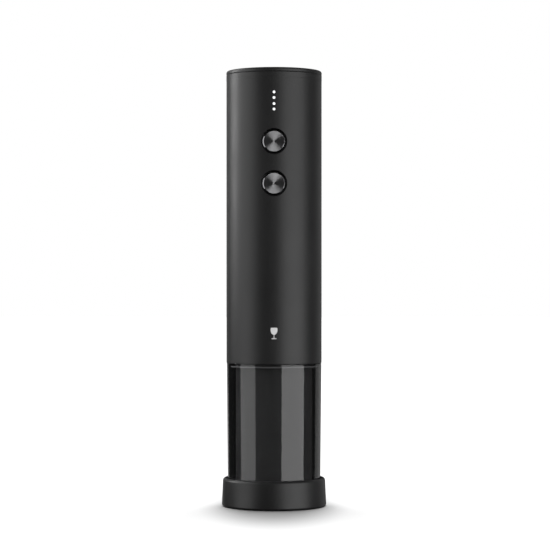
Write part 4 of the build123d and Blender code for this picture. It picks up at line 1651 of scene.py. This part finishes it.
@dataclass
class Studio:
    """The white studio: softboxes all round, a floor light and the camera, in metres.

    Attributes:
        camera_distance: how far the camera stands from the axis.
        camera_side: how far it stands to the side.
        camera_height: its height.
        lens: its focal length, in millimetres.
        sensor: its sensor's width, in millimetres.
        shift: how far the picture is shifted up, as a share of the sensor.
        floor_size: the floor's width.
        floor_tone: how light the floor is.
        painted_shadow_tone: how light the painted contact shadow is right under the opener.
        painted_shadow_reach: how far to the side and to the back the painted shadow reaches.
        painted_shadow_edges: where in that reach the painted shadow starts and ends to lighten, as
            shares.
        floor_brightness: how bright the floor's own light is.
        floor_light_spread: how wide that light is, in degrees.
        floor_light_lean: how far it leans to come from behind, in degrees.
        room_tone: how light the room is to all but the camera.
        tone_through_clear: how light it is to rays that passed through clear plastic.
        softboxes: the softboxes.
    """

    camera_distance: float = 1.070
    camera_side: float = 0.0005
    camera_height: float = 0.1165
    lens: float = 133.2
    sensor: float = 36.0
    shift: float = 0.0164
    floor_size: float = 12.0
    floor_tone: float = 0.95
    # The floor's colour darkens round the opener's foot: a painted contact shadow.
    painted_shadow_tone: float = 0.45
    painted_shadow_reach: tuple[float, float] = (0.038, 0.110)
    painted_shadow_edges: tuple[float, float] = (0.35, 1.12)
    floor_brightness: float = 1.4
    floor_light_spread: float = 70.0
    floor_light_lean: float = 24.0
    room_tone: float = 0.03
    tone_through_clear: float = 0.004
    softboxes: tuple[Softbox, ...] = (
        Softbox("right_softbox", 47.5, 0.70, (0.79, 0.8), 0.20, 1.75),
        Softbox("low_right_softbox", 47.5, 0.68, (0.767, 0.36), -0.02, 0.8),
        Softbox("left_softbox", -67.0, 0.70, (0.545, 0.8), 0.20, 1.6),
        Softbox("back_left_softbox", -109.0, 0.70, (0.20, 0.8), 0.56, 8.3, ("guide_with_ribs",)),
        Softbox("back_right_softbox", 140.0, 0.70, (0.50, 1.2), 0.30, 0.33),
        Softbox("left_rim_softbox", -158.0, 0.70, (0.20, 1.2), 0.30, 0.45),
    )

    def build(self) -> None:
        """Make the world, the floor, the lights and the camera."""
        bpy.context.scene.view_settings.view_transform = "Standard"
        self.make_world()
        floor = self.make_floor()
        for softbox in self.softboxes:
            softbox.build(floor)
        self.make_floor_light(floor)
        self.make_camera()

    def make_world(self) -> None:
        """Surround the scene with white for the camera, and with a dim room for all other rays.

        Rays that passed through clear plastic see the room darker still.
        """
        world = bpy.data.worlds.new("studio_room")
        bpy.context.scene.world = world
        world.use_nodes = True
        tree = world.node_tree
        shown = tree.nodes["Background"]
        shown.inputs["Color"].default_value = (1.0, 1.0, 1.0, 1.0)
        room = tree.nodes.new("ShaderNodeBackground")
        room.inputs["Color"].default_value = (self.room_tone,) * 3 + (1.0,)
        dark = tree.nodes.new("ShaderNodeBackground")
        dark.inputs["Color"].default_value = (self.tone_through_clear,) * 3 + (1.0,)
        through = tree.nodes.new("ShaderNodeMixShader")
        path = tree.nodes.new("ShaderNodeLightPath")
        mix = tree.nodes.new("ShaderNodeMixShader")
        tree.links.new(path.outputs["Is Transmission Ray"], through.inputs["Fac"])
        tree.links.new(room.outputs[0], through.inputs[1])
        tree.links.new(dark.outputs[0], through.inputs[2])
        tree.links.new(path.outputs["Is Camera Ray"], mix.inputs["Fac"])
        tree.links.new(through.outputs[0], mix.inputs[1])
        tree.links.new(shown.outputs[0], mix.inputs[2])
        tree.links.new(mix.outputs[0], tree.nodes["World Output"].inputs["Surface"])

    def make_floor(self) -> bpy.types.Object:
        """Lay a wide white floor with a painted contact shadow that darkens it softly round what
        stands on it.
        """
        bpy.ops.mesh.primitive_plane_add(size=self.floor_size)
        floor = bpy.context.active_object
        floor.name = "studio_floor"
        material = bpy.data.materials.new("white_floor_painted_shadow")
        material.use_nodes = True
        tree = material.node_tree
        shader = tree.nodes["Principled BSDF"]
        shader.inputs["Roughness"].default_value = 0.9
        shader.inputs["Specular IOR Level"].default_value = 0.0
        coordinates = tree.nodes.new("ShaderNodeTexCoord")
        shrunk = tree.nodes.new("ShaderNodeMapping")
        shrunk.inputs["Scale"].default_value = (1 / self.painted_shadow_reach[0], 1 / self.painted_shadow_reach[1], 1)
        away = tree.nodes.new("ShaderNodeVectorMath")
        away.operation = "LENGTH"
        # Painted contact shadow: the floor's colour darkens smoothly towards the opener's foot,
        # within an ellipse longer front to back than side to side.
        tone = tree.nodes.new("ShaderNodeMapRange")
        tone.interpolation_type = "SMOOTHSTEP"
        levels = (*self.painted_shadow_edges, self.painted_shadow_tone, self.floor_tone)
        for socket, level in zip(("From Min", "From Max", "To Min", "To Max"), levels):
            tone.inputs[socket].default_value = level
        tree.links.new(coordinates.outputs["Object"], shrunk.inputs["Vector"])
        tree.links.new(shrunk.outputs["Vector"], away.inputs[0])
        tree.links.new(away.outputs["Value"], tone.inputs["Value"])
        tree.links.new(tone.outputs["Result"], shader.inputs["Base Color"])
        floor.data.materials.append(material)
        floor.visible_glossy = False
        floor.visible_transmission = False
        return floor

    def make_floor_light(self, floor: bpy.types.Object) -> None:
        """Shine a broad soft light over the floor, from a little behind, that lights nothing else.

        Args:
            floor: the floor.
        """
        bpy.ops.object.light_add(type="SUN", location=(0, 1, 3))
        overhead = bpy.context.active_object
        overhead.name = "floor_light"
        overhead.data.energy = self.floor_brightness * math.pi
        overhead.data.angle = math.radians(self.floor_light_spread)
        overhead.rotation_euler = (-math.radians(self.floor_light_lean), 0, 0)
        lit = bpy.data.collections.new("lit_by_floor_light")
        lit.objects.link(floor)
        overhead.light_linking.receiver_collection = lit

    def make_camera(self) -> None:
        """Set up the camera, level and square to the opener's front."""
        bpy.ops.object.camera_add(
            location=(self.camera_side, -self.camera_distance, self.camera_height),
            rotation=(math.pi / 2, 0, 0),
        )
        camera = bpy.context.active_object
        camera.data.sensor_width = self.sensor
        camera.data.lens = self.lens
        camera.data.shift_y = self.shift
        bpy.context.scene.camera = camera


# ---- The whole opener ---------------------------------------------------------------------------


def main() -> None:
    """Build every sub-assembly, in order, and then the studio round them."""
    logging.basicConfig(level=logging.INFO, format="%(name)s: %(message)s")
    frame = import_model()
    tube = BodyTube()
    tube.build()
    for side, height in tube.button_heights.items():
        Button(side, height).build()
    NeckCup().build()
    Worm().build()
    FoilCutter().build()
    InnerWorks().build(frame)
    Studio().build()


if __name__ == "__main__":
    main()
